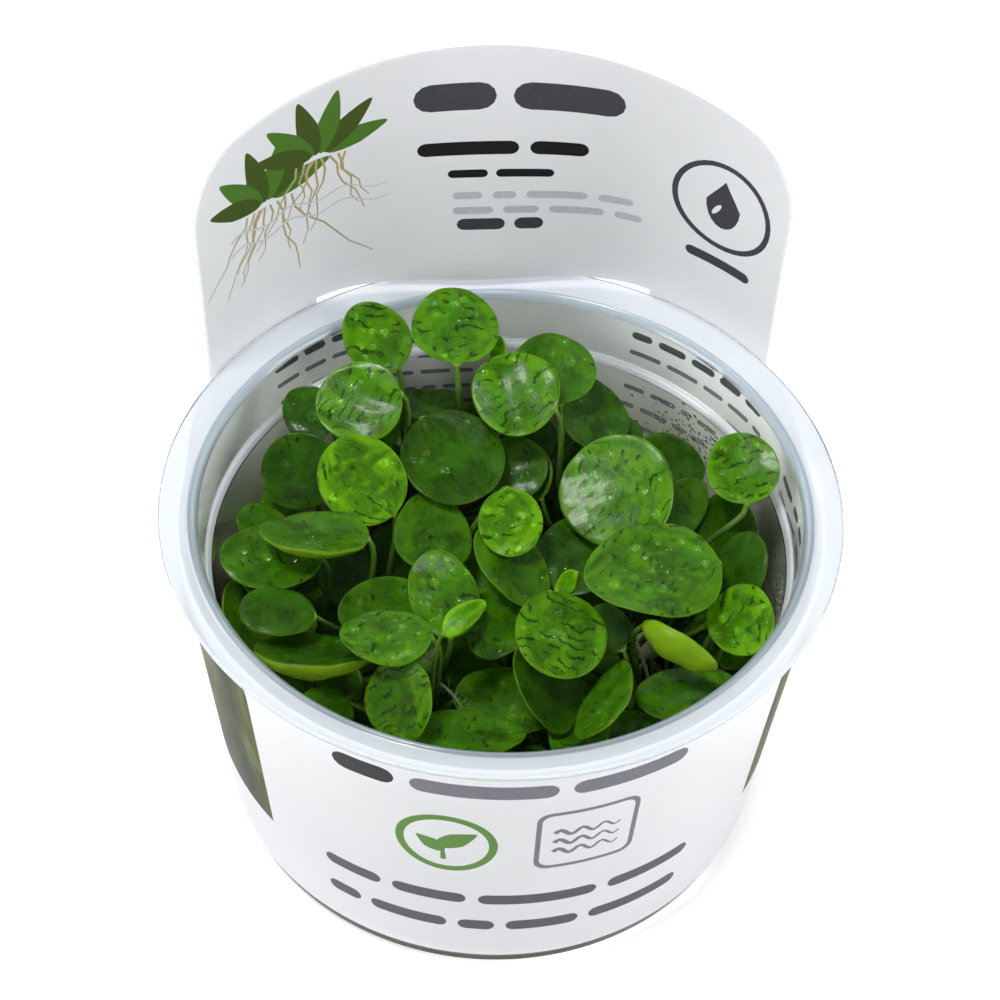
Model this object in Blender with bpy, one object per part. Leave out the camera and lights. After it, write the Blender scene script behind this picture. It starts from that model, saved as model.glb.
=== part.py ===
"""Frogbit plantlets in a clear tissue-culture cup with a card sleeve.

Lengths are in metres and +Z is up.  The origin is on the cup's axis, in the
plane of the flat underside that the cup stands on.  +Y is the back, where the
sleeve rises above the rim as a header card, and -Y is the front of the sleeve.
"""

import math

import bmesh
import bpy
from mathutils import Vector

MM = 0.001
GAP = 0.3 * MM
WELD = 0.01 * MM
SHARP_ANGLE = 40.0

# Cup, a thin turned vessel with a stacking shoulder and a wide flange
CUP_SEGMENTS = 48
CUP_WALL = 0.8 * MM
CUP_FLOOR = 0.9 * MM
CUP_BASE_RADIUS = 40.7 * MM
CUP_CORNER = 0.8 * MM
CORNER_STEPS = 2
CUP_SHOULDER_RADIUS = 43.4 * MM
CUP_SHOULDER_HEIGHT = 48.0 * MM
CUP_SHOULDER_STEP = 0.8 * MM
CUP_RIM_RADIUS = 45.1 * MM
CUP_RIM_HEIGHT = 57.7 * MM
FLANGE_RADIUS = 50.0 * MM
FLANGE_HEIGHT = 58.8 * MM
FLANGE_THICKNESS = 0.8 * MM
FLANGE_EDGE = 0.3 * MM
LIP_BEAD = 0.5 * MM

# Growth medium, a thin clear gel layer that fills the bottom of the cup
MEDIUM_TOP = 7.0 * MM

# Card sleeve, a loose cone round the cup that rises at the back as a header
CARD_THICKNESS = 0.5 * MM
SLEEVE_BOTTOM = 3.4 * MM
SLEEVE_TOP = 56.5 * MM
SLEEVE_BOTTOM_RADIUS = 41.45 * MM
SLEEVE_TOP_RADIUS = 47.3 * MM
SLEEVE_FLARE_START = 20.0 * MM
HEADER_HALF_ANGLE = 56.8
SLIT_HALF_ANGLE = 31.0
SLEEVE_RELAX_ANGLE = 24.0
HEADER_BOTTOM = 59.3 * MM
HEADER_TOP = 103.3 * MM
HEADER_LIP_RADIUS = 46.6 * MM
HEADER_HUG_RADIUS = 50.6 * MM
HEADER_CROWN_RADIUS = 49.5 * MM
HEADER_SPREAD = 3.0 * MM
HEADER_ARC_RADIUS = 165.0 * MM
HEADER_CORNER = 9.0 * MM
HEADER_SPACING = (0.0, 8.0, 16.0, 24.0, 31.0, 38.0, 45.0, 50.0, 54.0, 56.8)
SLEEVE_COLUMNS = 14
SLEEVE_ROWS = (0.0, 0.34, 0.64, 0.86, 1.0)
HEADER_ROWS = (0.0, 0.3, 0.6, 0.85, 1.0)

# Leaves, each a round blade with a spongy underside on a slender petiole
PETIOLE_RADIUS = 0.65 * MM
PETIOLE_STEPS = 4
PETIOLE_PULL = 4.0 * MM
PETIOLE_FIRST_REACH = 0.35
PETIOLE_START_RISE = 0.7
PETIOLE_START_SPREAD = 0.3
BLADE_STATIONS = (0.07, 0.25, 0.5, 0.75, 0.93, 0.995)
BLADE_RISE = 0.25 * MM
BLADE_DISH = 0.6 * MM

# Crowns, the short stems that carry the petioles and send roots down
CROWN_SIDES = 6
CROWN_RADIUS = 2.3
CROWN_RINGS = ((3.2, 0.8), (1.9, 1.9), (0.0, CROWN_RADIUS), (-1.8, 1.7), (-2.9, 0.6))
WIDEST_RING = 2
ROOT_SIDES = (0, 2, 4)
ROOT_STEPS = 3
ROOT_TIP_SCALE = 0.3
ROOT_FLATTENING = 0.6
ROOT_SPREAD = 3.0 * MM

# Plantlets: the crown's place, then its leaves in mm and degrees as
# (x, y, z, tilt, leaning toward, tip pointing toward, length, width, belly)
PLANTLETS = {
    "a": ((-22, 20, 24), (
        (-27.5, 27.5, 50, 40, -110, 130, 9, 8.5, 1.2),
        (-29, 20, 45, 45, -100, 180, 11, 10.5, 1.2),
        (-32, 19.5, 38, 50, -140, 200, 8.5, 7, 1.2),
        (-18, 28, 45, 40, -110, 57, 9, 7.5, 1.0),
    )),
    "b": ((-9, 28, 22), (
        (-17, 36.5, 57, 42, -95, 115, 12, 10.2, 1.0),
        (-4.8, 37, 58, 12, -80, 90, 14, 13.6, 1.0),
        (-20, 25.5, 54, 32, -100, 190, 12.5, 12, 1.2),
        (-6, 20, 47, 14, -85, -60, 14.5, 14, 1.2),
        (-8.2, 35.3, 42.5, 15, 75, 120, 9, 9, 1.0),
        (4, 22, 42, 35, -100, 10, 9, 9, 1.0),
    )),
    "c": ((16, 23, 20), (
        (4, 27.5, 53, 25, -100, 150, 12, 12, 1.0),
        (10.5, 34.6, 50.5, 14, -104, 95, 13, 13.5, 1.0),
        (16.5, 31, 44.5, 25, -30, 100, 13, 12, 1.0),
        (22.5, 28, 38, 10, 36, 80, 9, 10, 1.0),
        (19, 11.5, 47, 30, -125, -65, 16, 15.5, 1.4),
    )),
    "d": ((-14, 4, 20), (
        (-20, 15, 48, 38, -75, 129, 14, 13, 1.4),
        (-9.6, 9, 42, 20, -60, 100, 12, 11, 1.2),
        (2, 5.5, 48, 42, -95, -90, 10, 9.5, 1.0),
        (-18, -4.5, 41, 25, -60, 200, 12, 8, 1.2),
    )),
    "e": ((-29, -2, 19), (
        (-27.5, 4, 48, 20, 85, 170, 14.5, 11, 2.4),
        (-34, 4.3, 43, 5, -90, 175, 14.5, 11.5, 1.2),
        (-38, -2, 35, 45, 5, -80, 13, 9.5, 1.2),
        (-32.5, -5, 40.5, 68, 42, 132, 9, 7, 2.4),
    )),
    "f": ((-13, -12, 20), (
        (-8.9, -6.5, 46, 35, -40, 110, 13, 11.5, 1.2),
        (-17.5, -15.2, 47, 6, 85, 175, 13.5, 11, 2.0),
        (-28, -14.5, 43, 30, 80, 185, 15.5, 11, 3.4),
        (-15.5, -23.3, 42, 46, -148, -75, 13, 11.5, 1.4),
        (1, -16.3, 32.5, 4, 0, 0, 16, 12, 1.6),
        (-6, -25.5, 36.5, 20, 80, 0, 15, 11, 1.6),
    )),
    "g": ((6, -6, 18), (
        (2, 1, 43, 28, -20, 130, 13.5, 10, 1.2),
        (12.5, 5.5, 40, 15, -105, 61, 12, 11, 1.2),
        (8, -15, 46, 15, -60, -80, 12.5, 12, 1.4),
        (6.2, -17.5, 38, 38, -20, -75, 13, 10, 1.2),
        (-0.5, -6, 38, 10, -60, 250, 11.5, 9, 1.2),
        (10.5, -25, 34, 20, 110, -100, 10, 8, 1.2),
    )),
    "h": ((24, 3, 20), (
        (22, -7, 50, 3, 60, 190, 18, 16.5, 1.6),
        (37, 9.5, 54, 22, -100, 90, 11.5, 11, 0.8),
        (29, 13, 42, 45, -60, 60, 9, 7, 1.0),
        (34.8, 7, 40, 45, -170, 90, 15, 12, 1.2),
    )),
    "i": ((25, -12, 18), (
        (34.8, -13.4, 46, 24, -171, 10, 10, 13, 1.4),
        (25, -18, 46, 72, 52, -38, 13, 10, 2.2),
        (31, -6.5, 38.5, 55, 140, 40, 9, 7, 1.0),
        (27, -20.5, 38, 15, 120, -10, 14, 11, 1.2),
        (16.7, -25.2, 33, 20, 150, 230, 12, 10, 1.2),
        (14, -24.5, 42, 45, 160, -118, 12.5, 9, 1.2),
    )),
}

# Petioles that bend round a neighbour pass through this point
DETOURS = {
    "leaf_b2": (-3.5, 30.5, 44),
    "leaf_c1": (10.5, 22, 40),
    "leaf_c2": (10.5, 25.5, 42),
    "leaf_f2": (-11.5, -13.5, 36),
    "leaf_h2": (27, 2.5, 48),
}

# Surface colours and finishes: red, green, blue, roughness and transmission
FINISHES = {
    "clear_plastic": (0.86, 0.90, 0.93, 0.08, 1.0),
    "printed_card": (0.84, 0.85, 0.88, 0.45, 0.0),
    "clear_gel": (0.72, 0.78, 0.66, 0.10, 1.0),
    "leaf_green": (0.06, 0.24, 0.02, 0.32, 0.0),
    "crown_green": (0.36, 0.46, 0.16, 0.45, 0.0),
}


def clear_scene():
    """Remove what the file opened with."""
    for item in list(bpy.data.objects):
        bpy.data.objects.remove(item, do_unlink=True)


def finish(name):
    """Return the Principled material of this finish, made once."""
    material = bpy.data.materials.get(name)
    if material:
        return material
    red, green, blue, roughness, transmission = FINISHES[name]
    material = bpy.data.materials.new(name)
    material.use_nodes = True
    shader = material.node_tree.nodes["Principled BSDF"]
    shader.inputs["Base Color"].default_value = (red, green, blue, 1.0)
    shader.inputs["Roughness"].default_value = roughness
    shader.inputs["Metallic"].default_value = 0.0
    shader.inputs["Transmission Weight"].default_value = transmission
    return material


def add_object(name, mesh_data, finish_name):
    """Link a finished bmesh as a smooth-shaded object."""
    bmesh.ops.recalc_face_normals(mesh_data, faces=mesh_data.faces)
    if mesh_data.calc_volume(signed=True) < 0.0:
        bmesh.ops.reverse_faces(mesh_data, faces=mesh_data.faces)
    mesh = bpy.data.meshes.new(name)
    mesh_data.to_mesh(mesh)
    mesh_data.free()
    mesh.materials.append(finish(finish_name))
    mesh.shade_smooth()
    mesh.set_sharp_from_angle(angle=math.radians(SHARP_ANGLE))
    item = bpy.data.objects.new(name, mesh)
    bpy.context.collection.objects.link(item)
    return item


def turned(name, profile, finish_name):
    """Turn a profile of (radius, height) points that starts and ends on the axis."""
    work = bmesh.new()
    points = [work.verts.new((radius, 0.0, height)) for radius, height in profile]
    edges = [work.edges.new(pair) for pair in zip(points, points[1:])]
    bmesh.ops.spin(work, geom=points + edges, cent=(0, 0, 0), axis=(0, 0, 1),
                   angle=math.tau, steps=CUP_SEGMENTS, use_merge=True)
    bmesh.ops.remove_doubles(work, verts=work.verts, dist=WELD)
    return add_object(name, work, finish_name)


def cup_inner_radius(height):
    """Inner radius of the main wall at this height."""
    foot = CUP_FLOOR + CUP_CORNER
    share = (height - foot) / (CUP_SHOULDER_HEIGHT - foot)
    return CUP_BASE_RADIUS - CUP_WALL + share * (CUP_SHOULDER_RADIUS - CUP_BASE_RADIUS)


def corner_arc(radius, height, size):
    """Points of a rounded lower corner, from the flat underside to the wall."""
    centre = (radius - size, height + size)
    angles = [math.radians(90.0 * step / CORNER_STEPS) for step in range(CORNER_STEPS + 1)]
    return [(centre[0] + size * math.sin(a), centre[1] - size * math.cos(a)) for a in angles]


def make_cup():
    """The clear cup: floor, tapered wall, stacking shoulder, lip bead and flange."""
    ledge_radius = CUP_SHOULDER_RADIUS + CUP_SHOULDER_STEP
    ledge = CUP_SHOULDER_HEIGHT + CUP_SHOULDER_STEP
    outside = [(0.0, 0.0)]
    outside += corner_arc(CUP_BASE_RADIUS, 0.0, CUP_CORNER)
    outside += [
        (CUP_SHOULDER_RADIUS, CUP_SHOULDER_HEIGHT),
        (ledge_radius, ledge),
        (CUP_RIM_RADIUS, CUP_RIM_HEIGHT - FLANGE_THICKNESS),
        (FLANGE_RADIUS - FLANGE_EDGE, FLANGE_HEIGHT - FLANGE_THICKNESS),
        (FLANGE_RADIUS, FLANGE_HEIGHT - FLANGE_THICKNESS / 2),
        (FLANGE_RADIUS - FLANGE_EDGE, FLANGE_HEIGHT),
        (CUP_RIM_RADIUS + CUP_WALL, CUP_RIM_HEIGHT),
    ]
    inside = [
        (CUP_RIM_RADIUS + CUP_WALL / 4, CUP_RIM_HEIGHT + LIP_BEAD),
        (CUP_RIM_RADIUS - CUP_WALL, CUP_RIM_HEIGHT - LIP_BEAD),
        (ledge_radius - CUP_WALL, ledge),
        (CUP_SHOULDER_RADIUS - CUP_WALL, CUP_SHOULDER_HEIGHT),
    ]
    inner_corner = corner_arc(CUP_BASE_RADIUS - CUP_WALL, CUP_FLOOR, CUP_CORNER)
    inside += inner_corner[::-1]
    inside += [(0.0, CUP_FLOOR)]
    return turned("cup", outside + inside, "clear_plastic")


def make_medium():
    """The gel disc, clear of the floor and the wall."""
    foot = corner_arc(CUP_BASE_RADIUS - CUP_WALL - GAP, CUP_FLOOR + GAP, CUP_CORNER)
    top_radius = cup_inner_radius(MEDIUM_TOP) - GAP
    profile = [(0.0, CUP_FLOOR + GAP)] + foot + [(top_radius, MEDIUM_TOP), (0.0, MEDIUM_TOP)]
    return turned("growth_medium", profile, "clear_gel")


def smooth_step(share):
    """Ease from 0 to 1."""
    share = min(max(share, 0.0), 1.0)
    return share * share * (3.0 - 2.0 * share)


def header_foot_radius(angle):
    """Radius of the card at rim height, this many degrees from the back."""
    if angle <= SLIT_HALF_ANGLE:
        ease = math.sin(math.radians(90.0 * angle / SLIT_HALF_ANGLE)) ** 2
        return HEADER_LIP_RADIUS + ease * (HEADER_HUG_RADIUS - HEADER_LIP_RADIUS)
    if angle <= HEADER_HALF_ANGLE:
        return HEADER_HUG_RADIUS
    ease = smooth_step((angle - HEADER_HALF_ANGLE) / SLEEVE_RELAX_ANGLE)
    return HEADER_HUG_RADIUS + ease * (SLEEVE_TOP_RADIUS - HEADER_HUG_RADIUS)


def sleeve_radius(angle, share):
    """Radius of the sleeve at a share of its height."""
    height = SLEEVE_BOTTOM + share * (SLEEVE_TOP - SLEEVE_BOTTOM)
    cone = SLEEVE_BOTTOM_RADIUS + share * (SLEEVE_TOP_RADIUS - SLEEVE_BOTTOM_RADIUS)
    flare = smooth_step((height - SLEEVE_FLARE_START) / (SLEEVE_TOP - SLEEVE_FLARE_START))
    return cone + flare * (header_foot_radius(angle) - SLEEVE_TOP_RADIUS)


def header_radius(angle, height):
    """Radius of the header card, which leans out toward its top."""
    foot = header_foot_radius(angle)
    crown = HEADER_CROWN_RADIUS + HEADER_SPREAD * (angle / HEADER_HALF_ANGLE) ** 2
    share = (height - HEADER_BOTTOM) / (HEADER_TOP - HEADER_BOTTOM)
    return foot + share * (crown - foot)


def header_edge_height(angle):
    """Height of the header's top edge: a broad arc with rounded shoulders."""
    half_width = math.radians(HEADER_HALF_ANGLE) * HEADER_HUG_RADIUS
    across = math.radians(angle) * HEADER_HUG_RADIUS
    arc = HEADER_TOP - across ** 2 / (2.0 * HEADER_ARC_RADIUS)
    inset = max(across - (half_width - HEADER_CORNER), 0.0)
    return arc - (HEADER_CORNER - math.sqrt(max(HEADER_CORNER ** 2 - inset ** 2, 0.0)))


def column_angles():
    """Angles of the card's columns, from one side of the back right round to the other."""
    spacing = (180.0 - HEADER_HALF_ANGLE) / SLEEVE_COLUMNS
    half_turn = list(HEADER_SPACING)
    half_turn += [HEADER_HALF_ANGLE + spacing * (step + 1) for step in range(SLEEVE_COLUMNS)]
    return [-angle for angle in half_turn[-2:0:-1]] + half_turn


def make_sleeve():
    """The card: a grid of faces bent round the cup, given its thickness by Solidify."""
    angles = column_angles()
    work = bmesh.new()
    columns = []
    for angle in angles:
        size = abs(angle)
        turn = math.radians(angle)
        heights = [SLEEVE_BOTTOM + s * (SLEEVE_TOP - SLEEVE_BOTTOM) for s in SLEEVE_ROWS]
        radii = [sleeve_radius(size, s) for s in SLEEVE_ROWS]
        if size <= HEADER_HALF_ANGLE:
            rise = header_edge_height(size) - HEADER_BOTTOM
            for share in HEADER_ROWS:
                heights.append(HEADER_BOTTOM + share * rise)
                radii.append(header_radius(size, heights[-1]))
        columns.append([
            work.verts.new((r * math.sin(turn), r * math.cos(turn), z))
            for r, z in zip(radii, heights)
        ])
    rim_row = len(SLEEVE_ROWS) - 1
    for index, left in enumerate(columns):
        right = columns[(index + 1) % len(columns)]
        in_slit = abs(angles[index] + angles[(index + 1) % len(angles)]) / 2 < SLIT_HALF_ANGLE
        for row in range(min(len(left), len(right)) - 1):
            if row == rim_row and in_slit:
                continue
            work.faces.new((left[row], left[row + 1], right[row + 1], right[row]))
    sleeve = add_object("card_sleeve", work, "printed_card")
    thickness = sleeve.modifiers.new("Card thickness", "SOLIDIFY")
    thickness.thickness = CARD_THICKNESS
    thickness.offset = 0.0
    thickness.use_even_offset = True
    return sleeve


def blade_axes(tilt, toward, aim):
    """Normal, tip direction and side direction of a blade."""
    lean = math.radians(toward)
    slope = math.radians(tilt)
    normal = Vector((math.sin(slope) * math.cos(lean), math.sin(slope) * math.sin(lean),
                     math.cos(slope)))
    flat_aim = Vector((math.cos(math.radians(aim)), math.sin(math.radians(aim)), 0.0))
    tip = (flat_aim - normal * flat_aim.dot(normal)).normalized()
    return normal, tip, normal.cross(tip)


def bezier(points, share):
    """Point of a Bezier curve through its control points, by repeated halving."""
    while len(points) > 1:
        points = [a.lerp(b, share) for a, b in zip(points, points[1:])]
    return points[0]


def petiole_route(foot, outward, base, tip, detour):
    """Control points from the crown up to the blade's base."""
    reach = (base - foot).length
    up = Vector((0.0, 0.0, 1.0))
    start = outward * PETIOLE_START_SPREAD + up * PETIOLE_START_RISE
    route = [foot, foot + start * reach * PETIOLE_FIRST_REACH]
    if detour:
        route.append(Vector(detour) * MM)
    route += [base - (tip + up).normalized() * PETIOLE_PULL, base]
    return route


def loft(rings):
    """Skin a list of equal rings and close both ends."""
    work = bmesh.new()
    loops = [[work.verts.new(point) for point in ring] for ring in rings]
    for first, second in zip(loops, loops[1:]):
        for index in range(len(first)):
            after = (index + 1) % len(first)
            work.faces.new((first[index], first[after], second[after], second[index]))
    work.faces.new(loops[0])
    work.faces.new(loops[-1])
    return work


def leaf_ring(centre, side, normal, half_width, rise, belly, dish=0.0):
    """Six points of a leaf's cross-section: two edges, a flat top and a full belly."""
    half = half_width / 2
    return [
        centre + side * half_width + normal * dish,
        centre + side * half + normal * (rise + dish / 4),
        centre - side * half + normal * (rise + dish / 4),
        centre - side * half_width + normal * dish,
        centre - side * half - normal * (belly - dish / 4),
        centre + side * half - normal * (belly - dish / 4),
    ]


def make_leaf(name, foot, outward, leaf, detour):
    """One leaf: the petiole from the crown, then the blade, as a single skin."""
    x, y, z, tilt, toward, aim, length, width, belly = leaf
    normal, tip, side = blade_axes(tilt, toward, aim)
    centre = Vector((x, y, z)) * MM
    length, width, belly = length * MM, width * MM, belly * MM
    base = centre - tip * length / 2
    route = petiole_route(foot, outward, base, tip, detour)
    path = [bezier(route, step / PETIOLE_STEPS) for step in range(PETIOLE_STEPS + 1)]
    rings = []
    for index, point in enumerate(path):
        ahead = path[min(index + 1, PETIOLE_STEPS)]
        behind = path[max(index - 1, 0)]
        tangent = (ahead - behind).normalized()
        across = (side - tangent * side.dot(tangent)).normalized()
        high = PETIOLE_RADIUS * math.sin(math.pi / 3)
        rings.append(leaf_ring(point, across, tangent.cross(across), PETIOLE_RADIUS, high, high))
    for share in BLADE_STATIONS:
        spread = math.sqrt(1.0 - (2.0 * share - 1.0) ** 2)
        point = base + tip * length * share + normal * BLADE_DISH * (1.0 - spread)
        rings.append(leaf_ring(point, side, normal, spread * width / 2, BLADE_RISE * spread,
                               max(belly * spread, BLADE_RISE), BLADE_DISH * spread))
    return add_object(name, loft(rings), "leaf_green")


def make_crown(name, place):
    """A stubby stem whose lower faces are drawn down into tapering roots."""
    centre = Vector(place) * MM
    rings = []
    for height, radius in CROWN_RINGS:
        turns = [math.tau * step / CROWN_SIDES for step in range(CROWN_SIDES)]
        rings.append([
            centre + Vector((radius * math.cos(t), radius * math.sin(t), height)) * MM
            for t in turns
        ])
    work = loft(rings)
    bmesh.ops.recalc_face_normals(work, faces=work.faces)
    work.faces.ensure_lookup_table()
    first_lower_face = WIDEST_RING * CROWN_SIDES
    starts = [work.faces[first_lower_face + side] for side in ROOT_SIDES]
    for face in starts:
        grow_root(work, face, centre)
    return add_object(name, work, "crown_green")


def grow_root(work, face, centre):
    """Extrude one face of the crown down to the gel, narrowing at each step."""
    middle = face.calc_center_median()
    outward = Vector((middle.x - centre.x, middle.y - centre.y, 0.0)).normalized()
    lowest = min(vert.co.z for vert in face.verts)
    fall = (lowest - MEDIUM_TOP - GAP) / ROOT_STEPS
    for step in range(ROOT_STEPS):
        face = bmesh.ops.extrude_discrete_faces(work, faces=[face])["faces"][0]
        share = (step + 1) / ROOT_STEPS
        middle = face.calc_center_median()
        target = middle + outward * ROOT_SPREAD / ROOT_STEPS * (1.0 - share)
        target.z = middle.z - fall
        flatten = 1.0 - ROOT_FLATTENING * share
        for vert in face.verts:
            offset = vert.co - middle
            offset.z *= flatten
            vert.co = target + offset * (ROOT_TIP_SCALE ** (1.0 / ROOT_STEPS))


def make_plantlet(letter, place, leaves):
    """A crown and its leaves, whose petioles stand round it in the listed order."""
    make_crown("crown_" + letter, place)
    centre = Vector(place) * MM
    ring_radius = CROWN_RADIUS * MM + GAP + PETIOLE_RADIUS
    foot_turns = foot_angles(place, leaves)
    for index, leaf in enumerate(leaves):
        turn = foot_turns[index]
        outward = Vector((math.cos(turn), math.sin(turn), 0.0))
        foot = centre + outward * ring_radius
        name = "leaf_" + letter + str(index + 1)
        make_leaf(name, foot, outward, leaf, DETOURS.get(name))


def foot_angles(place, leaves):
    """Spread the petioles evenly round the crown, each as near its blade as that allows."""
    wanted = []
    for leaf in leaves:
        aim = math.radians(leaf[5])
        base_x = leaf[0] - math.cos(aim) * leaf[6] / 2
        base_y = leaf[1] - math.sin(aim) * leaf[6] / 2
        wanted.append(math.atan2(base_y - place[1], base_x - place[0]))
    order = sorted(range(len(leaves)), key=lambda index: wanted[index])
    spacing = math.tau / len(leaves)
    start = sum(wanted[leaf] - rank * spacing for rank, leaf in enumerate(order)) / len(leaves)
    angles = [0.0] * len(leaves)
    for rank, leaf in enumerate(order):
        angles[leaf] = start + rank * spacing
    return angles


def main():
    """Build the cup, its filling and the card round it."""
    clear_scene()
    make_cup()
    make_medium()
    make_sleeve()
    for letter, (place, leaves) in PLANTLETS.items():
        make_plantlet(letter, place, leaves)


main()
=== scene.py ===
import math
import random

import bmesh
import bpy
from bpy.props import FloatProperty, FloatVectorProperty, IntProperty, PointerProperty
from mathutils import Matrix, Vector
from mathutils.bvhtree import BVHTree
from mathutils.geometry import delaunay_2d_cdt


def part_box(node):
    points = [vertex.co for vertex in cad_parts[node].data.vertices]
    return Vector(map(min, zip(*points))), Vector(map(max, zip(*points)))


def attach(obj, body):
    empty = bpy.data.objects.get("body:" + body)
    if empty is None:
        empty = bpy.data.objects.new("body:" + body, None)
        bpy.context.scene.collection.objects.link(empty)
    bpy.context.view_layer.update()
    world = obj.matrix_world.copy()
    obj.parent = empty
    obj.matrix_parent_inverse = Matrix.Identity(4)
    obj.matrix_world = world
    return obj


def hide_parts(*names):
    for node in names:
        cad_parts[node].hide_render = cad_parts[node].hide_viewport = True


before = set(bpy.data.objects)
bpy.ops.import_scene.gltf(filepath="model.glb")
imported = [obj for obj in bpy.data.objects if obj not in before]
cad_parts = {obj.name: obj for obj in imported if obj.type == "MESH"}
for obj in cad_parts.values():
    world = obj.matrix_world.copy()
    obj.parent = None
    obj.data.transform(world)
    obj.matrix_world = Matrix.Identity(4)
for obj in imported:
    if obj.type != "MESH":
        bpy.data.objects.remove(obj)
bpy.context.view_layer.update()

bl_info = {
    "name": "Frogbit in a culture cup",
    "version": (1, 0, 0),
    "blender": (4, 5, 0),
    "location": "3D View > Sidebar > Frogbit",
    "description": "Builds frogbit plantlets in a clear cup with a printed card sleeve",
    "category": "Add Mesh",
}

MM = 0.001
BODY = "root"

# Places on the card are measured round the cup from the back, in mm at this radius
CARD_RULER = 47.0

# Where the sleeve's seam is, in degrees from the back
SEAM = -63.0

# Height in mm of the slit that the flange pokes through
SLIT_HEIGHT = 2.8

# Radius in mm of the card at rim height: where the header stands out, and behind the slit
HEADER_RADIUS = 50.6
SLIT_RADIUS = 46.6

# Radius in mm of the sleeve at its foot and how far it spreads up to its top
SLEEVE_FOOT = 41.45
SLEEVE_SPREAD = 5.85
SLEEVE_TOP = 47.3

# How far polypropylene bends light
POLYPROPYLENE_IOR = 1.49

# Radius in mm at which petioles leave a crown
CROWN_REACH = 3.2

# Settings of nodes that come back in several materials
COLOUR_MIX = {"data_type": "RGBA"}
EASED = {"interpolation_type": "SMOOTHSTEP"}
PRODUCT = {"operation": "MULTIPLY"}
SCALED_SUM = {"operation": "MULTIPLY_ADD"}

# Plantlets: the crown's place, then its leaves in mm and degrees as
# (x, y, z, tilt, leaning toward, tip pointing toward, length, width, belly)
PLANTLETS = {
    "a": ((-22, 20, 24), (
        (-27.5, 27.5, 50, 40, -110, 130, 9, 8.5, 1.2),
        (-29, 20, 45, 45, -100, 180, 11, 10.5, 1.2),
        (-32, 19.5, 38, 50, -140, 200, 8.5, 7, 1.2),
        (-18, 28, 45, 40, -110, 57, 9, 7.5, 1.0),
    )),
    "b": ((-9, 28, 22), (
        (-17, 36.5, 57, 42, -95, 115, 12, 10.2, 1.0),
        (-4.8, 37, 58, 12, -80, 90, 14, 13.6, 1.0),
        (-20, 25.5, 54, 32, -100, 190, 12.5, 12, 1.2),
        (-6, 20, 47, 14, -85, -60, 14.5, 14, 1.2),
        (-8.2, 35.3, 42.5, 15, 75, 120, 9, 9, 1.0),
        (4, 22, 42, 35, -100, 10, 9, 9, 1.0),
    )),
    "c": ((16, 23, 20), (
        (4, 27.5, 53, 25, -100, 150, 12, 12, 1.0),
        (10.5, 34.6, 50.5, 14, -104, 95, 13, 13.5, 1.0),
        (16.5, 31, 44.5, 25, -30, 100, 13, 12, 1.0),
        (22.5, 28, 38, 10, 36, 80, 9, 10, 1.0),
        (19, 11.5, 47, 30, -125, -65, 16, 15.5, 1.4),
    )),
    "d": ((-14, 4, 20), (
        (-20, 15, 48, 38, -75, 129, 14, 13, 1.4),
        (-9.6, 9, 42, 20, -60, 100, 12, 11, 1.2),
        (2, 5.5, 48, 42, -95, -90, 10, 9.5, 1.0),
        (-18, -4.5, 41, 25, -60, 200, 12, 8, 1.2),
    )),
    "e": ((-29, -2, 19), (
        (-27.5, 4, 48, 20, 85, 170, 14.5, 11, 2.5),
        (-34, 4.3, 43, 5, -90, 175, 14.5, 11.5, 1.2),
        (-38, -2, 35, 45, 5, -80, 13, 9.5, 1.2),
        (-32.5, -5, 40.5, 68, 42, 132, 9, 7, 2.4),
    )),
    "f": ((-13, -12, 20), (
        (-8.9, -6.5, 46, 35, -40, 110, 13, 11.5, 1.2),
        (-17.5, -15.2, 47, 6, 85, 175, 13.5, 11, 2.0),
        (-28, -14.5, 43, 30, 80, 185, 15.5, 11, 3.6),
        (-15.5, -23.3, 42, 46, -148, -75, 13, 11.5, 1.4),
        (1, -16.3, 32.5, 4, 0, 0, 16, 12, 1.6),
        (-6, -25.5, 36.5, 20, 80, 0, 15, 11, 1.6),
    )),
    "g": ((6, -6, 18), (
        (2, 1, 43, 28, -20, 130, 13.5, 10, 1.2),
        (12.5, 5.5, 40, 15, -105, 61, 12, 11, 1.2),
        (8, -15, 46, 15, -60, -80, 12.5, 12, 1.4),
        (6.2, -17.5, 38, 38, -20, -75, 13, 10, 1.2),
        (-0.5, -6, 38, 10, -60, 250, 11.5, 9, 1.2),
        (10.5, -25, 34, 20, 110, -100, 10, 8, 1.2),
    )),
    "h": ((24, 3, 20), (
        (22, -7, 50, 3, 60, 190, 18, 16.5, 1.6),
        (37, 9.5, 54, 22, -100, 90, 11.5, 11, 0.8),
        (29, 13, 42, 45, -60, 60, 9, 7, 1.0),
        (34.8, 7, 40, 45, -170, 90, 15, 12, 1.2),
    )),
    "i": ((25, -12, 18), (
        (34.8, -13.4, 46, 24, -171, 10, 10, 13, 1.4),
        (25, -18, 46, 72, 52, -38, 13, 10, 2.2),
        (31, -6.5, 38.5, 55, 140, 40, 9, 7, 1.0),
        (27, -20.5, 38, 15, 120, -10, 14, 11, 1.2),
        (16.7, -25.2, 33, 20, 150, 230, 12, 10, 1.2),
        (14, -24.5, 42, 45, 160, -118, 12.5, 9, 1.2),
    )),
}

# Petioles that bend round a neighbour pass through this point
DETOURS = {
    "leaf_b2": (-3.5, 30.5, 44),
    "leaf_c1": (10.5, 22, 40),
    "leaf_c2": (10.5, 25.5, 42),
    "leaf_f2": (-11.5, -13.5, 36),
    "leaf_h2": (27, 2.5, 48),
}

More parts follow.
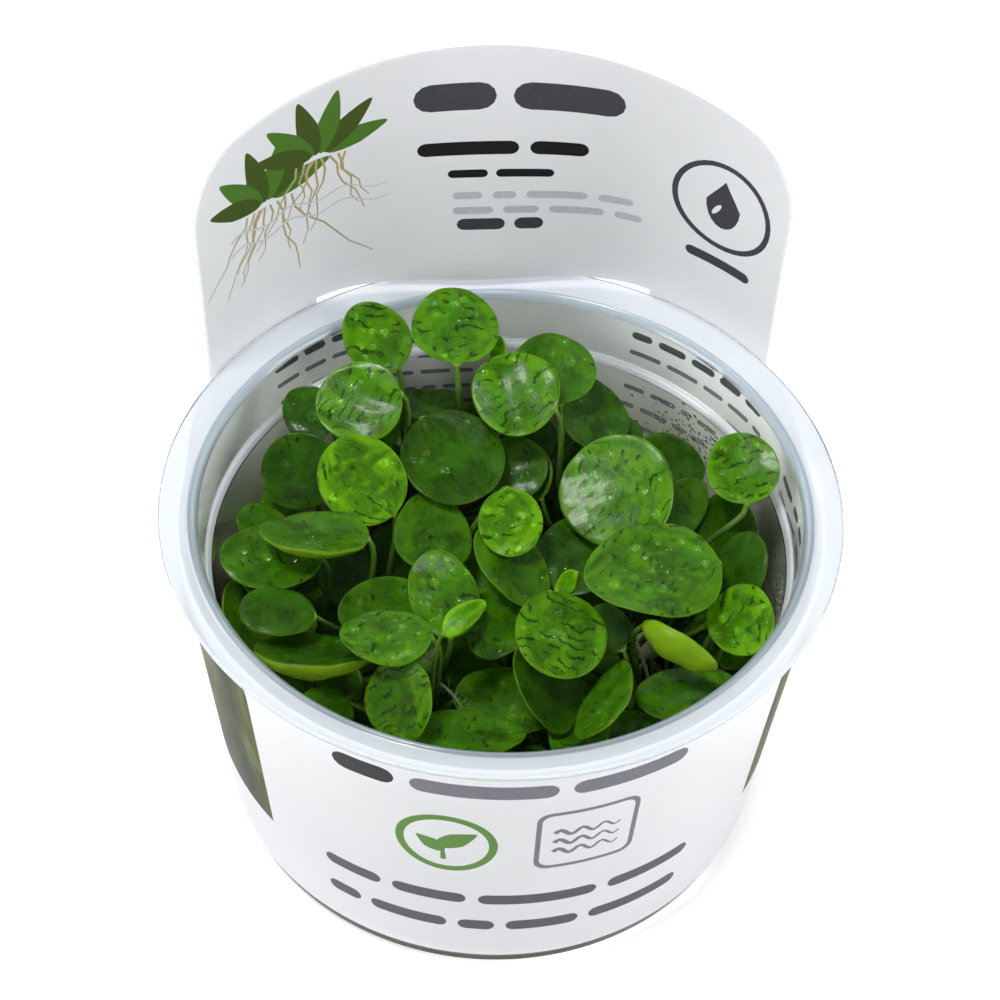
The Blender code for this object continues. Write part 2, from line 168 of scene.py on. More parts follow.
# How each leaf looks: brightness, yellowness, how many dark streaks, how many drops; a low brightness is
# partly the leaf's own tone and partly painted shade for leaves that lie behind or under others
TONES = {
    "plain": (0.9, 0.4, 0.6, 8),
    "fresh": (1.05, 0.6, 0.9, 10),
    "lime": (1.12, 1.0, 0.85, 10),
    "dark": (0.62, 0.15, 0.4, 6),
    "wet": (0.95, 0.5, 0.75, 34),
    "spotted": (0.95, 0.75, 1.0, 9),
    "pale": (1.5, 1.0, 0.0, 3),
}

# Young and low leaves that have no solid of their own, as (crown, place and shape, tone)
YOUNG_LEAVES = {
    "bud_1": ("b", (2.0, 36.6, 53, 62, -100, 80, 5.5, 2.6, 1.6), "pale"),
    "bud_2": ("g", (8.4, -7.6, 48.5, 66, -140, 35, 6.2, 3.0, 1.9), "pale"),
    "rolled_leaf": ("f", (-9.6, -14.6, 50.5, 60, -60, 55, 8.0, 3.8, 2.6), "pale"),
    "young_1": ("c", (10.4, 24.4, 40.5, 50, -150, 80, 9.5, 6.8, 1.0), "plain"),
    "young_2": ("i", (18.6, -10.4, 38, 35, -165, 120, 9.9, 7.5, 1.0), "dark"),
    "young_3": ("i", (33.2, -3.4, 37, 25, 44, 60, 8.5, 5.5, 1.0), "plain"),
    "young_4": ("e", (-36.4, 5.0, 33, 30, 20, 170, 9, 8, 1.0), "dark"),
}

# How often a young or a low leaf is tried in new places until it has room
YOUNG_TRIES = 150
LOW_TRIES = 30

# Ways that light comes from, which low leaves grow to catch
LIGHT_WAYS = ((-0.06, -0.63, 0.77), (0.0, 0.0, 1.0), (-0.45, -0.3, 0.84), (0.45, -0.3, 0.84))

# Bare white roots that rise from a crown into the light, as control points in mm
WHITE_ROOTS = (
    ((-10.8, -12.0, 21.0), (-13.0, -10.0, 33.0), (-10.1, -14.5, 39.0), (-7.9, -17.9, 37.0),
     (-4.5, -18.4, 30.0)),
    ((24.0, -10.5, 19.5), (22.5, -7.0, 31.0), (19.7, -4.9, 36.0), (18.6, -4.2, 34.0)),
    ((4.5, -4.5, 19.5), (1.5, 0.0, 30.0), (-1.3, 3.3, 35.0), (-2.4, 3.8, 33.0)),
)

# Leaves that may grow more or less than the others to fill their place
GROWTH = {
    "leaf_f5": (1.25, 1.2, 1.14, 1.1, 1.06, 1.03, 1.0),
    "leaf_i1": (1.35, 1.28, 1.2, 1.14, 1.1, 1.06, 1.03, 1.0),
    "leaf_e3": (1.25, 1.2, 1.14, 1.1, 1.06, 1.03, 1.0),
    "leaf_g4": (1.25, 1.2, 1.14, 1.1, 1.06, 1.03, 1.0),
    "leaf_e4": (1.0,), "leaf_i2": (1.0,),
}
USUAL_GROWTH = (1.14, 1.1, 1.06, 1.03, 1.0)

# The large leaves once they have grown, as (name, blade, petiole's path)
GROWN = []

# Blades whose streaks run along them, with the streaks' turn in radians
STREAK_SLANTS = {"leaf_d1": 0.1}

# Leaves that differ from a plain one
LEAF_TONES = {
    "leaf_a1": "dark", "leaf_a2": "dark", "leaf_a4": "dark",
    "leaf_b1": "fresh", "leaf_b2": "fresh", "leaf_b3": "fresh",
    "leaf_b4": "dark", "leaf_b5": "dark", "leaf_c1": "fresh", "leaf_c3": "dark",
    "leaf_c4": "dark", "leaf_c5": "fresh", "leaf_d1": "lime", "leaf_d2": "plain",
    "leaf_d3": "lime", "leaf_f1": "wet", "leaf_f2": "wet", "leaf_f4": "spotted",
    "leaf_f5": "plain", "leaf_g2": "dark", "leaf_g3": "spotted", "leaf_g4": "dark",
    "leaf_g5": "plain", "leaf_h1": "wet", "leaf_h2": "fresh", "leaf_h4": "dark",
    "leaf_i1": "lime", "leaf_i2": "lime", "leaf_e4": "lime", "leaf_f3": "dark",
}


# Sizes and colours


def length_setting(name, text, size, precision=4, **limits):
    """A length that a user may change, with its default given in mm."""
    return FloatProperty(name=name, description=text, default=size * MM, unit="LENGTH",
                         precision=precision, **limits)


def number_setting(name, text, amount, unit="NONE"):
    """A plain number that a user may change."""
    return FloatProperty(name=name, description=text, default=amount, unit=unit)


def colour_setting(name, text, tint):
    """A colour that a user may change, as linear red, green and blue."""
    return FloatVectorProperty(name=name, description=text, default=tint, subtype="COLOR",
                               size=3, min=0.0, max=1.0)


class FrogbitCup(bpy.types.PropertyGroup):
    """Sizes and colour of the clear cup."""

    wall: length_setting("Wall", "Thickness of the cup's wall", 0.8, min=0.2 * MM)
    floor: length_setting("Floor", "Thickness of the cup's floor", 0.9, min=0.2 * MM)
    base_radius: length_setting("Base radius", "Outer radius of the flat base", 40.7)
    corner: length_setting("Corner", "Rounding of the lower corner", 0.8)
    shoulder_radius: length_setting("Shoulder radius", "Outer radius under the stacking shoulder", 43.4)
    shoulder_height: length_setting("Shoulder height", "Height of the stacking shoulder", 48.0)
    shoulder_step: length_setting("Shoulder step", "How far the shoulder steps out and up", 0.8)
    rim_radius: length_setting("Rim radius", "Outer radius of the wall at the lip", 45.1)
    rim_height: length_setting("Rim height", "Height of the lip", 57.7)
    flange_radius: length_setting("Flange radius", "Outer radius of the flange", 50.0)
    flange_height: length_setting("Flange height", "Height of the flange's outer edge", 58.8)
    gel_top: length_setting("Gel top", "Height of the growth medium's surface", 7.0)
    segments: IntProperty(name="Segments", description="Facets round the cup", default=160, min=24)
    plastic: colour_setting("Plastic", "Tint of the clear plastic", (0.93, 0.945, 0.90))


class FrogbitCard(bpy.types.PropertyGroup):
    """Sizes and colours of the card sleeve and its header."""

    thickness: length_setting("Thickness", "Thickness of the card", 0.5)
    bottom: length_setting("Bottom", "Height of the sleeve's lower edge", 3.4)
    top: length_setting("Top", "Height of the sleeve's upper edge, under the flange", 56.5)
    header_top: length_setting("Header top", "Height of the header's crown", 103.3)
    header_half_angle: number_setting(
        "Header half angle", "Half the header's turn round the cup, in degrees", 56.8)
    slit_half_angle: number_setting(
        "Slit half angle", "Half the slit's turn round the cup, in degrees", 31.0)
    paper: colour_setting("Paper", "White of the coated card", (0.84, 0.845, 0.90))


class FrogbitPlants(bpy.types.PropertyGroup):
    """Sizes and colours of the plantlets."""

    petiole_radius: length_setting("Petiole radius", "Radius of a petiole half way up", 0.5, precision=5)
    dish: length_setting("Dish", "How far a blade's edge stands above its middle", 0.6, precision=5)
    rise: length_setting("Rise", "How far a blade's top swells", 0.25, precision=5)
    flutter: length_setting("Flutter", "How far a blade's edge waves up and down", 0.28, precision=5)
    drop_radius: length_setting("Drop radius", "Radius of the largest water drops", 0.85, precision=5)
    green: colour_setting("Green", "Middle green of the blades", (0.038, 0.165, 0.003))


class FrogbitStage(bpy.types.PropertyGroup):
    """The camera, the floor and the lights."""

    elevation: number_setting("Elevation", "Camera's height angle, in degrees", 50.493)
    turn: number_setting("Turn", "Camera's turn round the cup, in degrees", -5.5)
    distance: number_setting("Distance", "From the camera to the cup's middle", 0.45, unit="LENGTH")
    aim_height: length_setting("Aim height", "Height of the point that the turn is about", 29.41)
    pan: number_setting("Pan", "Camera's own turn to the right, in degrees", -0.034)
    lift: number_setting("Lift", "Camera's own turn upward, in degrees", 2.545)
    roll: number_setting("Roll", "Camera's lean, in degrees", 2.352)
    lens: number_setting("Lens", "Focal length for a 36 mm sensor, in mm", 105.56)
    key_power: number_setting("Key power", "Power of the large soft light", 3.0, unit="POWER")
    side_power: number_setting("Side power", "Power of the low lights at the sides", 2.7, unit="POWER")
    air: number_setting("Air", "Strength of the even light from all round", 0.26)
    floor_glow: number_setting("Floor glow", "How far the white sweep is lit from below", 0.55)


# Shared helpers


def linear(colour):
    """Turn an sRGB hex colour such as 3a7a12 into linear red, green, blue and alpha."""
    parts = [int(colour[i:i + 2], 16) / 255 for i in (0, 2, 4)]
    return tuple(c / 12.92 if c < 0.04045 else ((c + 0.055) / 1.055) ** 2.4 for c in parts) + (1.0,)


def fill_inputs(node, inputs):
    """Set inputs to values, or link them to a socket or to the first one that a node gives out."""
    for key, value in dict(inputs).items():
        if isinstance(value, bpy.types.Node):
            value = next(socket for socket in value.outputs if socket.enabled)
        if isinstance(value, bpy.types.NodeSocket):
            node.id_data.links.new(value, node.inputs[key])
        else:
            node.inputs[key].default_value = value


def add_node(tree, kind, settings=(), inputs=()):
    """Add a node with its settings and its inputs."""
    node = tree.nodes.new("ShaderNode" + kind)
    for name, value in dict(settings).items():
        setattr(node, name, value)
    fill_inputs(node, inputs)
    return node


def new_material(name):
    """Return an empty material, its tree and its Principled shader."""
    material = bpy.data.materials.new(name)
    material.use_nodes = True
    return material, material.node_tree, material.node_tree.nodes["Principled BSDF"]


def smooth_step(share):
    """Ease from 0 to 1."""
    share = min(max(share, 0.0), 1.0)
    return share * share * (3.0 - 2.0 * share)


def bezier(points, share):
    """Point of a Bezier curve through its control points, by repeated halving."""
    while len(points) > 1:
        points = [a.lerp(b, share) for a, b in zip(points, points[1:])]
    return points[0]


def add_piece(name, verts, faces, materials, replaces=None, sharp=None, fields=None,
              shares=None, clear=False):
    """Link a closed mesh as a smooth piece that rides on the body; a clear one shades nothing."""
    mesh = bpy.data.meshes.new(name)
    mesh.from_pydata(verts, [], faces)
    if shares:
        mesh.polygons.foreach_set("material_index", shares)
    for field, values in (fields or {}).items():
        layer = mesh.attributes.new(field, "FLOAT_VECTOR", "POINT")
        layer.data.foreach_set("vector", [number for value in values for number in value])
    work = bmesh.new()
    work.from_mesh(mesh)
    bmesh.ops.recalc_face_normals(work, faces=work.faces)
    if work.calc_volume(signed=True) < 0.0:
        bmesh.ops.reverse_faces(work, faces=work.faces)
    work.to_mesh(mesh)
    work.free()
    mesh.shade_smooth()
    if sharp:
        mesh.set_sharp_from_angle(angle=math.radians(sharp))
    for material in materials:
        mesh.materials.append(material)
    piece = bpy.data.objects.new(name, mesh)
    piece.visible_shadow = not clear
    bpy.context.scene.collection.objects.link(piece)
    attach(piece, BODY)
    if replaces:
        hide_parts(replaces)
    return piece


def loft(rings, verts, faces):
    """Add a skin over a list of equal rings, closed at both ends, to verts and faces."""
    first = len(verts)
    count = len(rings[0])
    for ring in rings:
        verts.extend(ring)
    for row in range(len(rings) - 1):
        for index in range(count):
            after = (index + 1) % count
            a, b = first + row * count, first + (row + 1) * count
            faces.append((a + index, a + after, b + after, b + index))
    faces.append(tuple(range(first, first + count)))
    faces.append(tuple(range(first + (len(rings) - 1) * count, first + len(rings) * count)))


def lofted(rings):
    """Vertices and faces of one skin over a list of rings."""
    verts, faces = [], []
    loft(rings, verts, faces)
    return verts, faces


def tube_rings(path, radii, sides):
    """Rings of a tube along a path of points."""
    rings = []
    across = None
    for index, point in enumerate(path):
        ahead = path[min(index + 1, len(path) - 1)]
        behind = path[max(index - 1, 0)]
        tangent = (ahead - behind).normalized()
        if across is None:
            across = tangent.orthogonal()
        across = (across - tangent * across.dot(tangent)).normalized()
        over = tangent.cross(across)
        turns = [math.tau * step / sides for step in range(sides)]
        rings.append([
            point + (across * math.cos(t) + over * math.sin(t)) * radii[index] for t in turns
        ])
    return rings


# The clear cup and its gel


def rounded(profile, steps=4):
    """Replace each corner of a (radius, height, rounding) profile by a short curve."""
    points = []
    for index, (radius, height, size) in enumerate(profile):
        here = Vector((radius, height))
        if size == 0:
            points.append(here)
            continue
        behind = Vector(profile[index - 1][:2]) - here
        ahead = Vector(profile[(index + 1) % len(profile)][:2]) - here
        start = here + behind.normalized() * min(size, behind.length * 0.45)
        end = here + ahead.normalized() * min(size, ahead.length * 0.45)
        points += [bezier([start, here, end], step / steps) for step in range(steps + 1)]
    return points


def turned(profile, segments):
    """Vertices and faces of a profile that starts and ends on the axis, turned about +Z."""
    verts = [Vector((0.0, 0.0, profile[0].y)), Vector((0.0, 0.0, profile[-1].y))]
    faces = []
    rows = profile[1:-1]
    for point in rows:
        for step in range(segments):
            turn = math.tau * step / segments
            verts.append(Vector((point.x * math.cos(turn), point.x * math.sin(turn), point.y)))
    for step in range(segments):
        after = (step + 1) % segments
        faces.append((0, 2 + step, 2 + after))
        last = 2 + (len(rows) - 1) * segments
        faces.append((1, last + after, last + step))
        for row in range(len(rows) - 1):
            a, b = 2 + row * segments, 2 + (row + 1) * segments
            faces.append((a + step, b + step, b + after, a + after))
    return verts, faces


def cup_profile(cup):
    """Outline of the cup's wall, from the middle of its underside to the middle of its floor."""
    step, wall = cup.shoulder_step, cup.wall
    ledge = cup.shoulder_height + step
    thick = 0.8 * MM
    bead = 0.5 * MM
    return rounded([
        (0.0, 0.0, 0),
        (cup.base_radius, 0.0, cup.corner),
        (cup.shoulder_radius, cup.shoulder_height, 0.4 * MM),
        (cup.shoulder_radius + step, ledge, 0.4 * MM),
        (cup.rim_radius, cup.rim_height - thick, 0.6 * MM),
        (cup.flange_radius, cup.flange_height - thick, 0.3 * MM),
        (cup.flange_radius, cup.flange_height, 0.3 * MM),
        (cup.rim_radius + wall, cup.rim_height, 0.4 * MM),
        (cup.rim_radius + wall / 4, cup.rim_height + bead, 0.4 * MM),
        (cup.rim_radius - wall, cup.rim_height - bead, 0.5 * MM),
        (cup.shoulder_radius + step - wall, ledge, 0.4 * MM),
        (cup.shoulder_radius - wall, cup.shoulder_height, 0.4 * MM),
        (cup.base_radius - wall, cup.floor, cup.corner),
        (0.0, cup.floor, 0),
    ])


def clear_polypropylene(cup):
    """Clear injection-moulded polypropylene: glassy with a faint bluish haze and orange peel."""
    material, tree, shader = new_material("clear_polypropylene")
    place = add_node(tree, "TexCoord").outputs["Object"]
    haze = add_node(tree, "TexNoise", inputs={"Vector": place, "Scale": 90.0, "Detail": 3.0})
    rough = add_node(tree, "MapRange", inputs={"Value": haze, "To Min": 0.0, "To Max": 0.08})
    peel = add_node(tree, "TexNoise", inputs={"Vector": place, "Scale": 420.0, "Detail": 2.0})
    bump = add_node(tree, "Bump", inputs={"Height": peel, "Strength": 0.06, "Distance": 0.1 * MM})
    fill_inputs(shader, {
        "Base Color": (*cup.plastic, 1.0), "Transmission Weight": 1.0, "IOR": POLYPROPYLENE_IOR,
        "Roughness": rough, "Normal": bump})
    return material


def painted_bright_rim(name, colour):
    """Thicker moulded rim of the same plastic, painted milky and pale so that it shows bright against
    the card: a painted highlight for the bright bands of light on the clear rim and ledge.
    """
    material, tree, shader = new_material(name)
    place = add_node(tree, "TexCoord").outputs["Object"]
    cloud = add_node(tree, "TexNoise", inputs={"Vector": place, "Scale": 120.0, "Detail": 3.0})
    rough = add_node(tree, "MapRange", inputs={"Value": cloud, "To Min": 0.08, "To Max": 0.2})
    fill_inputs(shader, {
        "Roughness": rough, "Base Color": linear(colour), "Transmission Weight": 0.45,
        "IOR": POLYPROPYLENE_IOR})
    return material


def dark_olive_base():
    """The cup's lower corner, moulded in the same plastic, coloured dark olive."""
    material, tree, shader = new_material("polypropylene_dark_olive_base")
    place = add_node(tree, "TexCoord").outputs["Object"]
    cloud = add_node(tree, "TexNoise", inputs={"Vector": place, "Scale": 90.0, "Detail": 3.0})
    tint = add_node(tree, "Mix", COLOUR_MIX, {
        "Factor": cloud, 6: linear("24280c"), 7: linear("4c4e20")})
    fill_inputs(shader, {
        "Base Color": tint, "Roughness": 0.2, "Specular IOR Level": 0.2,
        "Transmission Weight": 0.1, "IOR": POLYPROPYLENE_IOR})
    return material


def culture_gel():
    """Agar gel set in the cup: cloudy olive, wet on top, stained by roots."""
    material, tree, shader = new_material("culture_agar_gel")
    place = add_node(tree, "TexCoord").outputs["Object"]
    cloud = add_node(tree, "TexNoise", inputs={"Vector": place, "Scale": 160.0, "Detail": 5.0})
    tint = add_node(tree, "Mix", COLOUR_MIX, {
        "Factor": cloud, 6: linear("1c2410"), 7: linear("3d4420")})
    bump = add_node(tree, "Bump", inputs={"Height": cloud, "Strength": 0.2, "Distance": 0.3 * MM})
    fill_inputs(shader, {
        "Base Color": tint, "Normal": bump, "Roughness": 0.08, "Transmission Weight": 0.5,
        "IOR": 1.34})
    return material


class FROGBIT_OT_cup(bpy.types.Operator):
    """Make the clear cup with its stacking shoulder, lip and flange"""

    bl_idname = "frogbit.cup"
    bl_label = "Cup"

    def execute(self, context):
        cup = context.scene.frogbit_cup
        verts, faces = turned(cup_profile(cup), cup.segments)
        shares = [self.part(cup, [verts[v] for v in face]) for face in faces]
        # On plastic that is clear, the milky rim colour is a painted highlight and the lip bead's
        # blue-grey tint a painted sheen
        materials = [clear_polypropylene(cup), painted_bright_rim("rim_and_ledge_painted_highlight", "f4f8fd"),
                     dark_olive_base(), painted_bright_rim("lip_bead_painted_sheen", "c8d6e0")]
        add_piece("clear_cup", verts, faces, materials,
                  replaces="cup", sharp=50, shares=shares, clear=True)
        return {"FINISHED"}

    def part(self, cup, corners):
        """Which material a face has: 0 clear wall, 1 rim and ledge with a painted highlight, 2 base, 3
        lip bead with a painted blue-grey sheen.
        """
        low = min(v.z for v in corners)
        high = max(v.z for v in corners)
        near = min(v.xy.length for v in corners)
        far = max(v.xy.length for v in corners)
        if high < 3.0 * MM and near > 38 * MM:
            return 2
        if low > cup.shoulder_height - 0.1 * MM and high < cup.shoulder_height + 1.1 * MM:
            return 1
        if low < cup.rim_height - 0.85 * MM or near > cup.flange_radius - 0.7 * MM:
            return 0
        return 3 if far < cup.rim_radius + 0.7 * MM else 1


class FROGBIT_OT_gel(bpy.types.Operator):
    """Make the disc of growth medium in the bottom of the cup"""

    bl_idname = "frogbit.gel"
    bl_label = "Growth medium"

    def execute(self, context):
        cup = context.scene.frogbit_cup
        gap = 0.3 * MM
        low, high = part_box("growth_medium")
        radius = high.x
        profile = rounded([
            (0.0, low.z, 0),
            (cup.base_radius - cup.wall - gap, low.z, cup.corner),
            (radius, cup.gel_top, 0.2 * MM),
            (radius - 1.2 * MM, cup.gel_top - 0.25 * MM, 0.8 * MM),
            (0.0, cup.gel_top - 0.35 * MM, 0),
        ])
        verts, faces = turned(profile, cup.segments)
        add_piece("agar_gel", verts, faces, [culture_gel()],
                  replaces="growth_medium", sharp=60)
        return {"FINISHED"}


# The printed card

INK_NAMES = ("paper", "dark_grey", "black", "leaf_green", "mid_grey", "ghost", "picture",
             "root_brown", "sprig_green", "card_edge", "inside_board_painted_shade")


def header_foot_radius(angle, card):
    """Radius in mm of the card at rim height, this many degrees from the back."""
    if angle <= card.slit_half_angle:
        ease = math.sin(math.radians(90.0 * angle / card.slit_half_angle)) ** 2
        return SLIT_RADIUS + ease * 4.0
    ease = smooth_step((angle - card.header_half_angle) / 24.0)
    return HEADER_RADIUS - ease * 3.3


def card_radius(angle, height, card):
    """Radius in mm of the middle of the card, at an angle from the back and a height in mm."""
    bottom, top, header_top = card.bottom / MM, card.top / MM, card.header_top / MM
    header_bottom = top + SLIT_HEIGHT
    foot = header_foot_radius(angle, card)
    if height < header_bottom:
        share = (min(height, top) - bottom) / (top - bottom)
        flare = smooth_step((min(height, top) - 20.0) / (top - 20.0))
        wall = SLEEVE_FOOT + share * SLEEVE_SPREAD + flare * (foot - SLEEVE_TOP)
        return wall + max(height - top, 0.0) / SLIT_HEIGHT * (foot - wall)
    crown = 49.5 + 3.0 * (angle / card.header_half_angle) ** 2
    return foot + (height - header_bottom) / (header_top - header_bottom) * (crown - foot)


def card_point(u, height, side, card):
    """Place on the card's outer (+1) or inner (-1) face, for a ruler place and height in mm."""
    turn = u / CARD_RULER
    angle = abs(math.degrees(turn))
    angle = min(angle, 360.0 - angle)
    radius = card_radius(angle, height, card) * MM + side * card.thickness / 2
    return Vector((radius * math.sin(turn), radius * math.cos(turn), height * MM))


def card_normal(spot, card):
    """Normal of the bent card at a place on it."""
    u = math.atan2(spot.x, spot.y) * CARD_RULER
    height = spot.z / MM
    reach = 0.4
    along = card_point(u + reach, height, 0, card) - card_point(u - reach, height, 0, card)
    up = card_point(u, height + reach, 0, card) - card_point(u, height - reach, 0, card)
    return along.cross(up).normalized()


def header_edge(angle, card):
    """Height in mm of the header's top edge: a broad arc with rounded shoulders."""
    half_width = math.radians(card.header_half_angle) * HEADER_RADIUS
    across = math.radians(angle) * HEADER_RADIUS
    corner = 9.0
    arc = card.header_top / MM - across ** 2 / 330.0
    inset = max(across - (half_width - corner), 0.0)
    return arc - (corner - math.sqrt(max(corner ** 2 - inset ** 2, 0.0)))


def at(angle):
    """Ruler place in mm of an angle in degrees from the back."""
    return math.radians(angle) * CARD_RULER


def spread_even(start, end, step):
    """Numbers from start up to but not including end, about step apart."""
    count = max(1, round(abs(end - start) / step))
    return [start + (end - start) * index / count for index in range(count)]


def card_outline(card):
    """The card's outer edge, laid flat and cut open at the left side, as ruler places."""
    seam = SEAM
    half, top, bottom = card.header_half_angle, card.top / MM, card.bottom / MM
    edge = [(at(a), bottom) for a in spread_even(seam, seam + 360.0, 2.5)]
    edge += [(at(seam + 360.0), h) for h in spread_even(bottom, top, 3.0)]
    edge += [(at(a), top) for a in spread_even(seam + 360.0, half, 2.5)]
    edge += [(at(half), h) for h in spread_even(top, header_edge(half, card), 3.0)]
    turns = [half * math.sin(math.pi / 2 * share) for share in spread_even(1.0, -1.0, 0.04)]
    edge += [(at(a), header_edge(abs(a), card)) for a in turns]
    edge += [(at(-half), h) for h in spread_even(header_edge(half, card), top, 3.0)]
    edge += [(at(a), top) for a in spread_even(-half, seam, 2.5)]
    edge += [(at(seam), h) for h in spread_even(top, bottom, 3.0)]
    return edge


def slit_outline(card):
    """The slit at the back through which the flange pokes."""
    half, top = card.slit_half_angle, card.top / MM
    edge = [(at(a), top) for a in spread_even(-half, half, 2.5)]
    over = top + SLIT_HEIGHT
    edge += [(at(half), h) for h in spread_even(top, over, 1.4)]
    edge += [(at(a), over) for a in spread_even(half, -half, 2.5)]
    edge += [(at(-half), h) for h in spread_even(over, top, 1.4)]
    return edge


def inside(point, outline):
    """Whether a flat point lies inside an outline."""
    x, y = point
    found = False
    for (x1, y1), (x2, y2) in zip(outline, outline[1:] + outline[:1]):
        if (y1 > y) != (y2 > y) and x < x1 + (y - y1) / (y2 - y1) * (x2 - x1):
            found = not found
    return found


def card_grid(card, outline, slit):
    """Points inside the card that let it bend smoothly."""
    points = []
    for height in spread_even(card.bottom / MM + 2.5, card.header_top / MM, 2.6):
        for angle in spread_even(SEAM + 2.0, SEAM + 358.0, 3.0):
            spot = (at(angle), height)
            if inside(spot, outline) and not inside(spot, slit):
                points.append(spot)
    return points


def bar(x, y, length, thick):
    """A bar with round ends, from its left end's middle."""
    radius = thick / 2
    left = [math.pi / 2 + math.pi * step / 6 for step in range(7)]
    right = [-math.pi / 2 + math.pi * step / 6 for step in range(7)]
    return ([(x + radius + radius * math.cos(t), y + radius * math.sin(t)) for t in left]
            + [(x + length - radius + radius * math.cos(t), y + radius * math.sin(t))
               for t in right])


def round_square(x, y, size, corner):
    """A square with round corners about its middle."""
    points = []
    half = size / 2 - corner
    for quarter, (sx, sy) in enumerate(((1, 1), (-1, 1), (-1, -1), (1, -1))):
        for step in range(5):
            turn = math.pi / 2 * (quarter + step / 4)
            points.append((x + sx * half + corner * math.cos(turn),
                           y + sy * half + corner * math.sin(turn)))
    return points


def oval(x, y, length, width, slant=0.0, point=0.0, steps=20):
    """An oval on a slant, with its far end drawn out to a point."""
    c, s = math.cos(math.radians(slant)), math.sin(math.radians(slant))
    points = []
    for step in range(steps):
        turn = math.tau * step / steps
        along = length / 2 * math.cos(turn)
        across = width / 2 * math.sin(turn) * (1.0 - point * max(math.cos(turn), 0.0))
        points.append((x + along * c - across * s, y + along * s + across * c))
    return points


def stroke(points, thick):
    """A line through flat points, given a width that narrows toward its end."""
    left, right = [], []
    last = len(points) - 1
    for index, (x, y) in enumerate(points):
        ax, ay = points[min(index + 1, last)]
        bx, by = points[max(index - 1, 0)]
        reach = math.hypot(ax - bx, ay - by)
        half = thick / 2 * (1.0 - 0.6 * index / last)
        nx, ny = -(ay - by) / reach * half, (ax - bx) / reach * half
        left.append((x + nx, y + ny))
        right.append((x - nx, y - ny))
    return left + right[::-1]


def word_row(x, y, lengths, thick, gap):
    """Bars of these lengths in a row, which stand for words."""
    shapes = []
    for length in lengths:
        shapes.append(bar(x, y, length, thick))
        x += length + gap
    return shapes


def words(ink, left, lengths, thick, gap, angle, height, way=1):
    """A row of words in one ink at its place on the card."""
    return on_face(inked(ink, word_row(left, 0, lengths, thick, gap)), angle, height, way)


def sprig(x, y, draw):
    """A floating sprig: a fan of pointed blades over a waterline, with thin roots."""
    shapes = []
    for index, slant in enumerate((20, 48, 76, 104, 132, 160)):
        size = 9.0 + 2.5 * math.sin(math.radians(slant))
        c, s = math.cos(math.radians(slant)), math.sin(math.radians(slant))
        green = "sprig_green" if index % 2 else "leaf_green"
        shapes.append((green, oval(x + c * size * 0.62, y + 1.0 + s * size * 0.5,
                                   size, 3.4, slant, 0.5)))
    for index in range(9):
        lean = draw.uniform(-0.5, 0.5) + (index - 4) * 0.16
        reach = draw.uniform(9.0, 17.0)
        path = [(x + (index - 4) * 0.9 + lean * reach * (k / 6) ** 1.3
                 + 0.5 * math.sin(k * 1.9 + index), y - reach * k / 6) for k in range(7)]
        shapes.append(("root_brown", stroke(path, 0.42)))
    return shapes


def waves(x, y, width, rows, thick):
    """Rows of a plain wave line."""
    shapes = []
    for row in range(rows):
        path = [(x + width * k / 24, y - row * 2.6 + 0.7 * math.sin(k * math.tau / 8))
                for k in range(25)]
        shapes.append(stroke(path, thick))
    return shapes


def on_face(shapes, angle, height, way):
    """Move shapes drawn in mm about a point to their place on the card; way is +1 or -1."""
    turn = angle if angle > SEAM else angle + 360.0
    return [(ink, [(at(turn) + way * x, height + y) for x, y in shape]) for ink, shape in shapes]


def inked(ink, shapes):
    """Give every shape the same ink."""
    return [(ink, shape) for shape in shapes]


def header_print(draw):
    """What is printed on the header's front and on the wall behind the plants."""
    shapes = []
    shapes += words("dark_grey", -13.0, (12.0, 16.0), 5.0, 2.4, 3, 94.6)
    shapes += words("black", -12.5, (15.0, 8.5), 2.5, 1.6, 3, 85.0)
    shapes += words("black", -8.0, (6.0, 8.6), 1.5, 1.2, 3, 80.2)
    shapes += words("dark_grey", -6.6, (7.4, 4.4), 2.2, 1.4, 3, 70.4)
    for row, lengths in enumerate(((4.5, 3.6, 9.0, 5.2), (6.2, 5.4, 8.0, 4.1))):
        shapes += words("ghost", -13.0, lengths, 1.4, 1.5, 10, 76.0 - 2.9 * row)
    shapes += on_face([("dark_grey", oval(0, 0, 16.4, 16.4, steps=40)),
                       ("paper", oval(0, 0, 14.6, 14.6, steps=40)),
                       ("dark_grey", oval(0, 0.4, 9.0, 5.6, 90, 0.85))], 43.5, 82.0, 1)
    shapes += on_face(inked("paper", [oval(-1.0, -0.9, 2.6, 0.8, 60)]), 43.5, 82.0, 1)
    shapes += words("dark_grey", -5.5, (11.0,), 1.8, 1.0, 43.8, 71.0)
    shapes += on_face(sprig(0, 0, draw), -40.5, 83.0, 1)
    shapes += on_face(sprig(0, 0, draw), -30.0, 87.5, 1)
    shapes += on_face(inked("ghost", waves(-9.0, 0, 26.0, 2, 0.5)), -38.0, 80.0, 1)
    for angle, height, rows, width in ((-35, 50.5, 4, 12), (-11, 47.5, 5, 12),
                                       (45, 50.0, 6, 26), (82, 48.5, 2, 13)):
        gap = 1.1
        for row in range(rows):
            lengths = []
            while sum(lengths) + gap * len(lengths) < width:
                lengths.append(draw.uniform(2.2, 6.0))
            ink, thick = ("mid_grey", 0.8) if row else ("dark_grey", 1.3)
            shapes += words(ink, -width / 2, lengths, thick, gap, angle, height - 3.2 * row)
    return shapes


